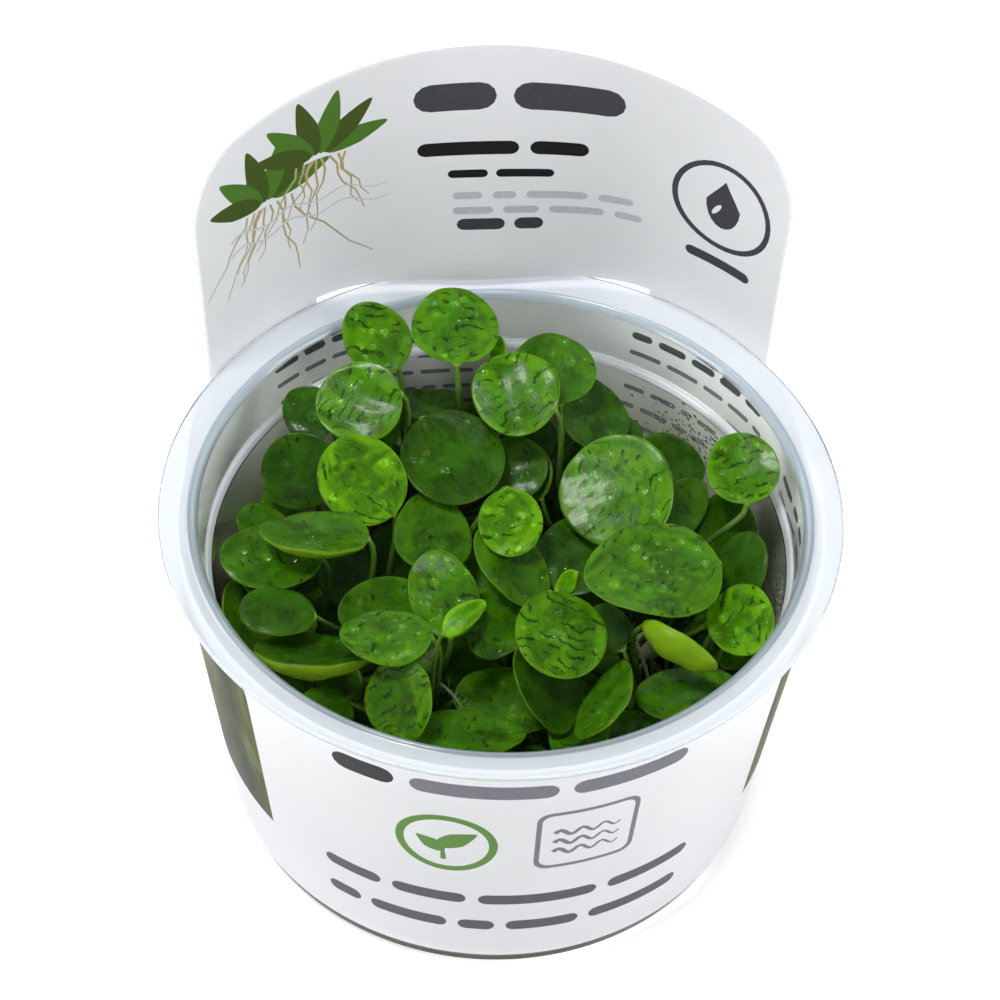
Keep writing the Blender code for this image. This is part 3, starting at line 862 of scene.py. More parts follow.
def sleeve_print(draw):
    """What is printed on the outside of the sleeve."""
    shapes = []
    shapes += words("black", -27.5, (9.5,), 3.9, 1, 180, 51.2, -1)
    shapes += words("mid_grey", -15.8, (21.0, 17.5), 3.4, 2.0, 180, 51.2, -1)
    shapes += on_face([("leaf_green", oval(0, 0, 15.4, 15.4, steps=40)),
                       ("paper", oval(0, 0, 12.8, 12.8, steps=40)),
                       ("leaf_green", oval(1.6, 1.2, 7.4, 3.6, 35, 0.6)),
                       ("leaf_green", oval(-2.4, -0.4, 5.4, 2.9, 140, 0.6)),
                       ("leaf_green", stroke([(-0.4, -4.6), (-0.5, -2.0), (-0.2, 0.2)], 0.9))],
                      -167.0, 36.2, -1)
    shapes += on_face([("mid_grey", round_square(0, 0, 15.6, 2.2)),
                       ("paper", round_square(0, 0, 14.0, 1.7))], 167.5, 37.2, -1)
    shapes += on_face(inked("mid_grey", waves(-5.0, 2.0, 10.0, 3, 0.9)), 167.5, 37.2, -1)
    shapes += words("dark_grey", -31.5, (10.0, 12.0, 19.0, 15.0), 2.7, 1.9, 180, 20.6, -1)
    shapes += words("dark_grey", -31.5, (6.0, 13.0, 6.0, 12.0, 16.5), 2.7, 1.8, 180, 12.8, -1)
    shapes += words("mid_grey", -13.0, (7.0, 9.0, 5.0), 2.2, 1.5, -10, 76, -1)
    shapes += words("mid_grey", -13.0, (6.0, 8.0, 7.0), 2.2, 1.5, -10, 71.4, -1)
    for way, near in ((-1, 126.5), (1, 123.5)):
        far, low, high = 70.0, 17.5, 53.5
        corner = 3.0
        panel = [(at(near), low), (at(far), low), (at(far), high)]
        panel += [(at(near) - corner + corner * math.sin(t), high - corner + corner * math.cos(t))
                  for t in (0.0, 0.4, 0.8, 1.2, math.pi / 2)]
        if way < 0:
            panel = [(at(360.0) - u, h) for u, h in panel]
        shapes.append(("picture", panel))
    return shapes


def fine_steps(shape, reach=1.8):
    """An outline with extra points, so that none of its edges is long and all bend with the card."""
    points = []
    for (ax, ay), (bx, by) in zip(shape, shape[1:] + shape[:1]):
        count = max(1, math.ceil(math.hypot(bx - ax, by - ay) / reach))
        points += [(ax + (bx - ax) * k / count, ay + (by - ay) * k / count)
                   for k in range(count)]
    return points


def skin(shapes, card, side, grid, outline, slit):
    """One face of the card: flat triangles with their inks, bent into place."""
    points = list(outline) + list(slit) + list(grid)
    loops = [list(range(len(outline))),
             list(range(len(outline), len(outline) + len(slit)))]
    for shape in [fine_steps(shape) for _, shape in shapes]:
        turning = sum(a[0] * b[1] - b[0] * a[1] for a, b in zip(shape, shape[1:] + shape[:1]))
        loops.append(list(range(len(points), len(points) + len(shape))))
        points += shape if turning > 0 else shape[::-1]
    flat, _, triangles, origin, _, owners = delaunay_2d_cdt(
        [Vector(p) for p in points], [], loops, 0, 1e-5)
    edge_of = {}
    for index, sources in enumerate(origin):
        for source in sources:
            if source < len(outline) + len(slit):
                edge_of[source] = index
    verts = [card_point(p.x, p.y, side, card) for p in flat]
    faces, inks = [], []
    for triangle, owner in zip(triangles, owners):
        if 0 not in owner or 1 in owner:
            continue
        faces.append(tuple(triangle) if side < 0 else tuple(reversed(triangle)))
        printed = max(owner)
        bare = "paper"
        # Painted shade: the bare inner face below the slit, behind the cup, takes the shaded olive board
        if side < 0 and sum(flat[k].y for k in triangle) / 3 < card.top / MM + SLIT_HEIGHT / 2:
            bare = "inside_board_painted_shade"
        inks.append(INK_NAMES.index(shapes[printed - 2][0] if printed > 1 else bare))
    return verts, faces, inks, edge_of


def coated_card(card):
    """White-coated carton board: satin, faintly mottled, with a fine fibre tooth."""
    material, tree, shader = new_material("coated_carton_board")
    place = add_node(tree, "TexCoord").outputs["Object"]
    mottle = add_node(tree, "TexNoise", inputs={"Vector": place, "Scale": 130.0, "Detail": 4.0})
    tint = add_node(tree, "Mix", COLOUR_MIX, {
        "Factor": mottle, 6: (*[c * 0.95 for c in card.paper], 1.0),
        7: (*card.paper, 1.0)})
    tooth = add_node(tree, "TexNoise", inputs={"Vector": place, "Scale": 2600.0, "Detail": 2.0})
    bump = add_node(tree, "Bump", inputs={"Height": tooth, "Strength": 0.05, "Distance": 0.05 * MM})
    fill_inputs(shader, {
        "Base Color": tint, "Normal": bump, "Roughness": 0.42, "Subsurface Weight": 0.9,
        "Subsurface Radius": (1.0, 1.0, 1.0), "Subsurface Scale": 2.5 * MM})
    return material


def inside_board_painted_shade():
    """The board's wall behind the cup: painted shade with a green cast from the leaves, dull olive low
    down and pale above.
    """
    material, tree, shader = new_material("carton_board_inside_painted_shade")
    place = add_node(tree, "TexCoord").outputs["Object"]
    height = add_node(tree, "SeparateXYZ", inputs={0: place}).outputs[2]
    cloud = add_node(tree, "TexNoise", inputs={"Vector": place, "Scale": 60.0, "Detail": 4.0})
    wavy = add_node(tree, "Math", SCALED_SUM, {0: cloud, 1: 8.0 * MM, 2: height})
    # Painted shade: dull olive below about 32 mm, fading to pale grey-white by 55 mm
    painted_shade_fade = add_node(tree, "MapRange", EASED, {
        "Value": wavy, "From Min": 32.0 * MM, "From Max": 55.0 * MM})
    tint = add_node(tree, "Mix", COLOUR_MIX, {
        "Factor": painted_shade_fade, 6: linear("989c82"), 7: linear("e4e6e8")})
    fill_inputs(shader, {"Base Color": tint, "Roughness": 0.5})
    return material


def offset_ink(name, colour):
    """Offset litho ink on coated board: flat colour, a little uneven, satin like the board."""
    material, tree, shader = new_material("litho_ink_" + name)
    place = add_node(tree, "TexCoord").outputs["Object"]
    grain = add_node(tree, "TexNoise", inputs={"Vector": place, "Scale": 1500.0, "Detail": 2.0})
    base = linear(colour)
    tint = add_node(tree, "Mix", COLOUR_MIX, {
        "Factor": grain, 6: base, 7: tuple(min(c * 1.25 + 0.01, 1) for c in base)})
    fill_inputs(shader, {"Base Color": tint, "Roughness": 0.42, "Specular IOR Level": 0.14})
    return material


def printed_picture():
    """Four-colour print of blurred pond plants: olive and green patches that run into each other."""
    material, tree, shader = new_material("litho_print_pond_plants")
    place = add_node(tree, "TexCoord").outputs["Object"]
    stretch = add_node(tree, "Mapping", inputs={"Vector": place, "Scale": (1.0, 1.0, 0.45)})
    broad = add_node(tree, "TexNoise", inputs={
        "Vector": stretch, "Scale": 95.0, "Detail": 2.0, "Distortion": 1.2})
    fine = add_node(tree, "TexNoise", inputs={"Vector": stretch, "Scale": 260.0, "Detail": 3.0})
    ramp = add_node(tree, "ValToRGB", inputs={"Fac": broad})
    stops = ((0.30, "1a2406"), (0.44, "39440c"), (0.54, "535c12"), (0.62, "6c6a40"), (0.70, "42700e"))
    elements = ramp.color_ramp.elements
    while len(elements) < len(stops):
        elements.new(0.5)
    for element, (place_on_ramp, colour) in zip(elements, stops):
        element.position = place_on_ramp
        element.color = linear(colour)
    tint = add_node(tree, "Mix", {**COLOUR_MIX, "blend_type": "MULTIPLY"}, {
        "Factor": 0.35, 6: ramp, 7: fine})
    fill_inputs(shader, {"Base Color": tint, "Roughness": 0.42, "Specular IOR Level": 0.08})
    return material


class FROGBIT_OT_card(bpy.types.Operator):
    """Make the card sleeve and header with their generic print"""

    bl_idname = "frogbit.card"
    bl_label = "Card sleeve"

    def execute(self, context):
        card = context.scene.frogbit_card
        draw = random.Random(7)
        outline, slit = card_outline(card), slit_outline(card)
        grid = card_grid(card, outline, slit)
        verts, faces, inks, rims = [], [], [], []
        for side, shapes in ((1, sleeve_print(draw)), (-1, header_print(draw))):
            new_verts, new_faces, new_inks, edge_of = skin(
                shapes, card, side, grid, outline, slit)
            start = len(verts)
            verts += new_verts
            faces += [tuple(start + v for v in face) for face in new_faces]
            inks += new_inks
            rims.append({key: start + value for key, value in edge_of.items()})
        seam = {at(SEAM), at(SEAM + 360.0)}
        loops = [range(len(outline)), range(len(outline), len(outline) + len(slit))]
        places = outline + slit
        for loop in loops:
            for index, after in zip(loop, list(loop[1:]) + [loop[0]]):
                if places[index][0] == places[after][0] and places[index][0] in seam:
                    continue
                outer, inner = rims
                faces.append((outer[index], outer[after], inner[after], inner[index]))
                inks.append(INK_NAMES.index("card_edge"))
        materials = [coated_card(card), offset_ink("dark_grey", "45454c"),
                     offset_ink("black", "1c1c20"), offset_ink("leaf_green", "4f7a28"),
                     offset_ink("mid_grey", "6a6a72"), offset_ink("ghost", "c9ccd2"),
                     printed_picture(), offset_ink("root_brown", "b9a87c"),
                     offset_ink("sprig_green", "46591f"), offset_ink("card_edge", "e4e6ea"),
                     inside_board_painted_shade()]
        self.link(verts, faces, inks, materials)
        return {"FINISHED"}

    def link(self, verts, faces, inks, materials):
        """Weld the seam, share out the inks and link the card as one piece."""
        mesh = bpy.data.meshes.new("printed_card_sleeve")
        mesh.from_pydata(verts, [], faces)
        for material in materials:
            mesh.materials.append(material)
        mesh.polygons.foreach_set("material_index", inks)
        work = bmesh.new()
        work.from_mesh(mesh)
        bmesh.ops.remove_doubles(work, verts=work.verts, dist=0.002 * MM)
        bmesh.ops.recalc_face_normals(work, faces=work.faces)
        work.to_mesh(mesh)
        work.free()
        mesh.shade_smooth()
        self.bend_normals(mesh, bpy.context.scene.frogbit_card)
        piece = bpy.data.objects.new("printed_card_sleeve", mesh)
        bpy.context.scene.collection.objects.link(piece)
        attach(piece, BODY)
        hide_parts("card_sleeve")

    def bend_normals(self, mesh, card):
        """Shade both faces by the card's true bend, and its cut edge flat."""
        cut = INK_NAMES.index("card_edge")
        bends = [card_normal(vertex.co, card) for vertex in mesh.vertices]
        normals = []
        for face in mesh.polygons:
            for corner in face.vertices:
                bend = bends[corner]
                if face.material_index == cut:
                    normals.append(face.normal.copy())
                else:
                    normals.append(bend if bend.dot(face.normal) > 0 else -bend)
        mesh.normals_split_custom_set(normals)


# The leaves


def blade_axes(tilt, toward, aim):
    """Normal, tip direction and side direction of a blade."""
    lean, slope = math.radians(toward), math.radians(tilt)
    normal = Vector((math.sin(slope) * math.cos(lean), math.sin(slope) * math.sin(lean),
                     math.cos(slope)))
    flat_aim = Vector((math.cos(math.radians(aim)), math.sin(math.radians(aim)), 0.0))
    tip = (flat_aim - normal * flat_aim.dot(normal)).normalized()
    return normal, tip, normal.cross(tip)


def foot_angles(place, leaves):
    """Spread the petioles evenly round the crown, each as near its blade as that allows."""
    wanted = []
    for leaf in leaves:
        aim = math.radians(leaf[5])
        base_x = leaf[0] - math.cos(aim) * leaf[6] / 2
        base_y = leaf[1] - math.sin(aim) * leaf[6] / 2
        wanted.append(math.atan2(base_y - place[1], base_x - place[0]))
    order = sorted(range(len(leaves)), key=lambda index: wanted[index])
    spacing = math.tau / len(leaves)
    start = sum(wanted[leaf] - rank * spacing for rank, leaf in enumerate(order)) / len(leaves)
    angles = [0.0] * len(leaves)
    for rank, leaf in enumerate(order):
        angles[leaf] = start + rank * spacing
    return angles


class Blade:
    """A leaf's shape: where its blade stands and how it swells, dishes and waves."""

    def __init__(self, spec, plants, seed):
        x, y, z, tilt, toward, aim, length, width, belly = spec
        draw = random.Random(seed)
        self.normal, self.tip, self.side = blade_axes(tilt, toward, aim)
        self.length, self.width, self.belly = length * MM, width * MM, belly * MM
        self.base = Vector((x, y, z)) * MM - self.tip * self.length / 2
        self.dish, self.rise = plants.dish * draw.uniform(0.5, 1.3), plants.rise
        self.flutter = plants.flutter * draw.uniform(0.6, 1.3)
        self.egg = draw.uniform(-0.06, 0.16)
        self.phases = [draw.uniform(0, math.tau) for _ in range(3)]
        self.slant = math.radians(draw.uniform(55, 120))
        self.seed = draw.uniform(0, 50)
        self.waves = [(draw.uniform(0, math.tau), draw.uniform(0, math.tau),
                       draw.uniform(3.0, 6.5) * MM) for _ in range(3)]

    def point(self, across, along, over):
        """Place for across -1 to 1, along 0 to 1, on the top (1) or the underside (-1)."""
        reach = 2.0 * along - 1.0
        spread = math.sqrt(max(1.0 - reach * reach, 0.0))
        rim = 1.0 - spread * spread * (1.0 - across * across)
        inner = math.sqrt(max(1.0 - rim, 0.0))
        turn = math.atan2(across * spread, reach)
        half = self.width / 2 * spread * (1.0 - self.egg * reach)
        height = self.dish * rim
        height += self.flutter * rim * rim * (
            math.sin(2 * turn + self.phases[0]) + 0.6 * math.sin(3 * turn + self.phases[1])
            + 0.3 * math.sin(7 * turn + self.phases[2]))
        x, y = across * half, along * self.length
        for way, phase, span in self.waves:
            height += 0.07 * MM * math.sqrt(inner) * math.sin(
                math.tau * (x * math.cos(way) + y * math.sin(way)) / span + phase)
        if over > 0:
            height += self.rise * math.sqrt(inner)
            height -= 0.10 * MM * math.exp(-(across * half / (0.45 * MM)) ** 2) * (1 - along) * inner
        else:
            edge = 0.22 * MM
            height -= edge * math.sqrt(inner) + max(self.belly - edge, 0.0) * inner ** 1.25
        return (self.base + self.tip * self.length * along + self.side * across * half
                + self.normal * height)


def petiole_path(blade, foot, outward, detour, steps):
    """Points from the crown up to the blade's base."""
    reach = (blade.base - foot).length
    up = Vector((0.0, 0.0, 1.0))
    route = [foot, foot + (outward * 0.3 + up * 0.7) * reach * 0.35]
    if detour:
        route.append(Vector(detour) * MM)
    route += [blade.base - (blade.tip + up).normalized() * 4.0 * MM, blade.base]
    return [bezier(route, step / steps) for step in range(steps + 1)]


def leaf_skin(blade, path, radius, around=30, stations=24):
    """Rings of one leaf from its foot to its tip, with what each point needs for its colour."""
    rings, spots, sizes = [], [], []
    turns = [math.tau * (step + 0.5) / around for step in range(around)]
    last = len(path) - 1
    c, s = math.cos(blade.slant), math.sin(blade.slant)
    for index, point in enumerate(path):
        tangent = (path[min(index + 1, last)] - path[max(index - 1, 0)]).normalized()
        across = (blade.side - tangent * blade.side.dot(tangent)).normalized()
        over = tangent.cross(across)
        girth = radius * (1.15 - 0.35 * index / last)
        rings.append([point + (across * math.cos(t) + over * math.sin(t)) * girth for t in turns])
        for t in turns:
            spots.append((math.cos(t), index / last, -1.0))
            sizes.append((girth / MM * t, -index * 2.0, blade.seed))
    for station in range(1, stations + 1):
        along = (1.0 - math.cos(math.pi * station / (stations + 0.35))) / 2
        rings.append([])
        for t in turns:
            over = 1 if math.sin(t) > 0 else -1
            across = math.cos(t)
            rings[-1].append(blade.point(across, along, over))
            spots.append((across, along, max(over, 0.0)))
            x, y = across * blade.width / 2 / MM, along * blade.length / MM
            sizes.append((x * c - y * s, x * s + y * c, blade.seed))
    return rings, spots, sizes


def waxy_leaf(plants):
    """Living frogbit leaf: waxy and wet-glossy, green with darker streaks and fine veins."""
    material, tree, shader = new_material("waxy_frogbit_leaf")
    spot = add_node(tree, "SeparateXYZ", inputs={
        0: add_node(tree, "Attribute", {"attribute_name": "spot"}).outputs["Vector"]})
    tone = add_node(tree, "SeparateXYZ", inputs={
        0: add_node(tree, "Attribute", {"attribute_name": "tone"}).outputs["Vector"]})
    size = add_node(tree, "Attribute", {"attribute_name": "size"}).outputs["Vector"]
    across, along, part = spot.outputs
    bright, yellow, streaky = tone.outputs

    # Soft patches about 4 mm across, from dark to middle green
    patch = add_node(tree, "TexNoise", inputs={
        "Vector": size, "Scale": 0.24, "Detail": 4.0, "Roughness": 0.6})
    spread = add_node(tree, "MapRange", inputs={"Value": patch, "From Min": 0.36, "From Max": 0.64})
    green = tuple(c * 1.35 for c in plants.green) + (1.0,)
    deep = tuple(c * 0.5 for c in plants.green) + (1.0,)
    blade = add_node(tree, "Mix", COLOUR_MIX, {"Factor": spread, 6: deep, 7: green})

    # Younger, yellower cloudy patches, more of them toward the edge: partly the leaf's own colour and
    # partly a painted highlight
    moved = add_node(tree, "VectorMath", inputs={0: size, 1: (31.0, 17.0, 5.0)})
    cloud = add_node(tree, "TexNoise", inputs={
        "Vector": moved, "Scale": 0.3, "Detail": 3.0, "Distortion": 0.6})
    reach_out = add_node(tree, "Math", SCALED_SUM, {0: along, 1: 2.0, 2: -1.0})
    squared = add_node(tree, "Math", PRODUCT, {0: reach_out, 1: reach_out})
    rest = add_node(tree, "Math", {"operation": "SUBTRACT"}, {0: 1.0, 1: squared})
    side = add_node(tree, "Math", PRODUCT, {0: across, 1: across})
    side_part = add_node(tree, "Math", SCALED_SUM, {0: side, 1: rest, 2: squared})
    edged = add_node(tree, "Math", SCALED_SUM, {0: side_part, 1: 0.16, 2: cloud})
    young = add_node(tree, "MapRange", EASED, {
        "Value": edged, "From Min": 0.48, "From Max": 0.74, "To Min": 0.15})
    yellow_and_painted_highlight = add_node(tree, "Math", PRODUCT, {0: young, 1: yellow})
    limed = add_node(tree, "Mix", COLOUR_MIX, {"Factor": yellow_and_painted_highlight, 6: blade, 7: linear("6aa808")})

    # Curved veins run from base to tip, eleven across the blade
    comb = add_node(tree, "Math", {"operation": "PINGPONG"}, {0: across, 1: 0.09})
    vein = add_node(tree, "MapRange", EASED, {
        "Value": comb, "From Min": 0.0, "From Max": 0.022, "To Min": 1.0, "To Max": 0.0})
    cells = add_node(tree, "TexVoronoi", {"feature": "DISTANCE_TO_EDGE"}, {
        "Vector": size, "Scale": 1.1})
    mesh_lines = add_node(tree, "MapRange", EASED, {
        "Value": cells.outputs["Distance"], "From Min": 0.0, "From Max": 0.12,
        "To Min": 1.0, "To Max": 0.0})
    veined = add_node(tree, "Math", {"operation": "MAXIMUM"}, {0: vein, 1: mesh_lines})
    lift = add_node(tree, "Math", PRODUCT, {0: veined, 1: 0.09})
    netted = add_node(tree, "Mix", COLOUR_MIX, {"Factor": lift, 6: limed, 7: linear("8fc02c")})

    # Streaks about 0.4 mm wide and 1.5 to 4 mm long, in broken rows across the blade
    wander = add_node(tree, "TexNoise", inputs={"Vector": size, "Scale": 0.22, "Detail": 1.0})
    jitter = add_node(tree, "TexNoise", inputs={"Vector": size, "Scale": 1.5, "Detail": 2.0})
    shaken = add_node(tree, "VectorMath", SCALED_SUM, {
        0: wander.outputs["Color"], 1: (4.0, 4.0, 0.0), 2: size})
    jagged = add_node(tree, "VectorMath", SCALED_SUM, {
        0: jitter.outputs["Color"], 1: (1.1, 0.8, 0.0), 2: shaken})
    lane = add_node(tree, "SeparateXYZ", inputs={0: jagged})
    off_row = add_node(tree, "Math", {"operation": "PINGPONG"}, {0: lane.outputs[0], 1: 0.8})
    row = add_node(tree, "MapRange", EASED, {
        "Value": off_row, "From Min": 0.05, "From Max": 0.38,
        "To Min": 1.0, "To Max": 0.0})
    stretched = add_node(tree, "Mapping", inputs={
        "Vector": jagged, "Location": (7.0, 3.0, 0.0), "Scale": (0.95, 0.42, 1.0)})
    dash = add_node(tree, "TexNoise", inputs={"Vector": stretched, "Scale": 1.0, "Detail": 1.0})
    needed = add_node(tree, "Math", SCALED_SUM, {0: streaky, 1: -0.27, 2: 0.75})
    spare = add_node(tree, "Math", {"operation": "SUBTRACT"}, {0: dash, 1: needed})
    kept = add_node(tree, "MapRange", EASED, {
        "Value": spare, "From Min": 0.0, "From Max": 0.08, "To Max": 0.9})
    streak = add_node(tree, "Math", PRODUCT, {0: row, 1: kept})
    streaked = add_node(tree, "Mix", COLOUR_MIX, {"Factor": streak, 6: netted, 7: linear("1a3609")})

    # Old leaves have brown spots 1 to 2 mm across
    break_up = add_node(tree, "TexNoise", inputs={"Vector": size, "Scale": 1.1, "Detail": 3.0})
    spotted = add_node(tree, "MapRange", inputs={"Value": streaky, "From Min": 0.95, "From Max": 1.0})
    blot = add_node(tree, "MapRange", EASED, {
        "Value": break_up, "From Min": 0.62, "From Max": 0.7, "To Max": 0.8})
    brown = add_node(tree, "Math", PRODUCT, {0: blot, 1: spotted})
    aged = add_node(tree, "Mix", COLOUR_MIX, {"Factor": brown, 6: streaked, 7: linear("54481a")})

    # The margin is a thin paler line: partly its own paler edge tissue, partly a painted highlight where
    # the thick edge catches light
    margin_and_painted_highlight = add_node(tree, "MapRange", EASED, {
        "Value": side_part, "From Min": 0.93, "From Max": 1.0, "To Max": 0.5})
    rimmed = add_node(tree, "Mix", COLOUR_MIX, {"Factor": margin_and_painted_highlight, 6: aged, 7: linear("6c9a28")})
    # Partly painted shade: the tone's brightness darkens leaves that lie in shadow
    shade = add_node(tree, "Mix", {**COLOUR_MIX, "blend_type": "MULTIPLY"}, {
        "Factor": 1.0, 6: rimmed, 7: bright})

    # The spongy underside is paler, partly its own colour and partly painted light standing in for light
    # through the translucent belly; the petiole is paler toward its blade
    under = add_node(tree, "Mix", COLOUR_MIX, {
        "Factor": patch, 6: linear("6a9c10"), 7: linear("a8d02c")})
    top = add_node(tree, "MapRange", inputs={"Value": part, "From Min": 0.3, "From Max": 0.7})
    both = add_node(tree, "Mix", COLOUR_MIX, {"Factor": top, 6: under, 7: shade})
    stem = add_node(tree, "MapRange", inputs={
        "Value": part, "From Min": -0.9, "From Max": -0.1, "To Min": 1.0, "To Max": 0.0})
    # Painted shade: the petiole darkens toward its foot, deep among the leaves
    stem_painted_shade = add_node(tree, "Mix", COLOUR_MIX, {
        "Factor": along, 6: linear("26430f"), 7: linear("648c36")})
    final = add_node(tree, "Mix", COLOUR_MIX, {"Factor": stem, 6: both, 7: stem_painted_shade})

    # Wet film: some patches are shinier than others
    film = add_node(tree, "TexNoise", inputs={"Vector": size, "Scale": 0.45, "Detail": 3.0})
    rough = add_node(tree, "MapRange", inputs={
        "Value": film, "From Min": 0.35, "From Max": 0.65,
        "To Min": 0.19, "To Max": 0.36})
    grain = add_node(tree, "TexNoise", inputs={"Vector": size, "Scale": 3.0, "Detail": 1.0})
    relief = add_node(tree, "Math", SCALED_SUM, {0: veined, 1: -0.25, 2: grain})
    swell = add_node(tree, "Math", SCALED_SUM, {0: film, 1: 3.2, 2: relief})
    bump = add_node(tree, "Bump", inputs={"Height": swell, "Strength": 0.4, "Distance": 0.05 * MM})
    fill_inputs(shader, {
        "Base Color": final, "Roughness": rough, "Normal": bump, "IOR": 1.42,
        "Specular IOR Level": 0.2, "Subsurface Weight": 0.15,
        "Subsurface Radius": (0.4, 1.0, 0.2), "Subsurface Scale": 0.6 * MM, "Coat Weight": 0.1,
        "Coat Roughness": 0.08})
    return material


def all_leaves(plants):
    """Every leaf with its own solid: its node's name, its blade and its petiole's path.

    Blades grow as far as their neighbours and the cup's wall leave room.
    """
    if GROWN:
        return GROWN
    cup = bpy.context.scene.frogbit_cup
    crowd = Crowd()
    drafts = []
    for letter, (place, leaves) in PLANTLETS.items():
        for index, (turn, spec) in enumerate(zip(foot_angles(place, leaves), leaves)):
            outward = Vector((math.cos(turn), math.sin(turn), 0.0))
            foot = Vector(place) * MM + outward * CROWN_REACH * MM
            drafts.append(("leaf_" + letter + str(index + 1), spec, len(drafts) + 1, foot, outward))
    for draft in drafts:
        crowd.add(draft[0], *rough_leaf(draft, 1.0, plants)[2:])
    for draft in drafts:
        name = draft[0]
        for factor in GROWTH.get(name, USUAL_GROWTH):
            blade, path, verts, faces = rough_leaf(draft, factor, plants)
            if factor == 1.0 or (wall_clear(verts, cup) and not crowd.hits(verts, faces, name)):
                crowd.add(name, verts, faces)
                blade.slant = STREAK_SLANTS.get(name, blade.slant)
                GROWN.append((name, blade, path))
                break
    return GROWN


def rough_leaf(draft, factor, plants):
    """A leaf grown by a factor: its blade, its petiole's path and a coarse skin above its foot."""
    name, spec, seed, foot, outward = draft
    blade = Blade(spec[:6] + (spec[6] * factor, spec[7] * factor, spec[8]), plants, seed)
    path = petiole_path(blade, foot, outward, DETOURS.get(name), 10)
    rings = leaf_skin(blade, path, plants.petiole_radius, 16, 12)[0]
    return blade, path, *lofted(rings[3:])


def low_leaf_spec(crown, gap, way, draw):
    """A leaf of a crown that stands under a gap in the others, square to the light from a way."""
    low = gap[2] / MM
    height = draw.uniform(max(15.0, low + 1.0), max(34.0, low + 9.0))
    x, y = [gap[k] / MM + way[k] * (height - low) / way[2] for k in range(2)]
    x += draw.uniform(-2.5, 2.5)
    y += draw.uniform(-2.5, 2.5)
    length = draw.uniform(8.0, 14.5)
    turn = math.degrees(math.atan2(y - crown[1], x - crown[0]))
    lean = math.degrees(math.atan2(way[1], way[0]))
    return (x, y, height, draw.uniform(5, 42), lean + draw.uniform(-60, 60),
            turn + draw.uniform(-40, 40), length, length * draw.uniform(0.75, 0.98), 1.0)


def inner_radius(cup, height):
    """Radius of the wall's inner face at a height below the shoulder."""
    return (cup.base_radius + (cup.shoulder_radius - cup.base_radius) * height
            / cup.shoulder_height - cup.wall)


def wall_clear(verts, cup):
    """Whether points stay off the cup's wall and floor."""
    for v in verts:
        room = inner_radius(cup, v.z) - 0.4 * MM
        if math.hypot(v.x, v.y) > room or v.z < cup.gel_top + 1.0 * MM:
            return False
    return True


def box_round(verts):
    """Lowest and highest corner of the box round some points."""
    return [Vector([pick(v[k] for v in verts) for k in range(3)]) for pick in (min, max)]


class Crowd:
    """The leaves that stand already, to keep new ones clear of them."""

    def __init__(self):
        self.trees = {}

    def add(self, name, verts, faces):
        """Take in one more leaf, or its new shape."""
        self.trees[name] = (*box_round(verts), BVHTree.FromPolygons(verts, faces))

    def hits(self, verts, faces, own=None):
        """How many leaves a new one would cut through."""
        low, high = box_round(verts)
        tree = BVHTree.FromPolygons(verts, faces)
        count = 0
        for name, (other_low, other_high, other) in self.trees.items():
            if name != own and all(low[k] < other_high[k] and high[k] > other_low[k] for k in range(3)):
                count += bool(tree.overlap(other))
        return count

    def shades(self, point, way):
        """Whether any leaf keeps light that comes from a way off a point."""
        return any(other.ray_cast(point, way)[0] for _, _, other in self.trees.values())


def small_leaf(spec, place, plants, seed, around, stations):
    """Rings, colour places and the part to keep clear, for a leaf on its own thin petiole."""
    blade = Blade(spec, plants, seed)
    centre = Vector(place) * MM
    out = blade.base - centre
    out.z = 0.0
    out.normalize()
    foot = centre + out * 1.9 * MM - Vector((0, 0, 0.8 * MM))
    path = petiole_path(blade, foot, out, None, 8)
    rings, spots, sizes = leaf_skin(blade, path, plants.petiole_radius * 0.75, around, stations)
    return rings, spots, sizes, *lofted(rings[4:])


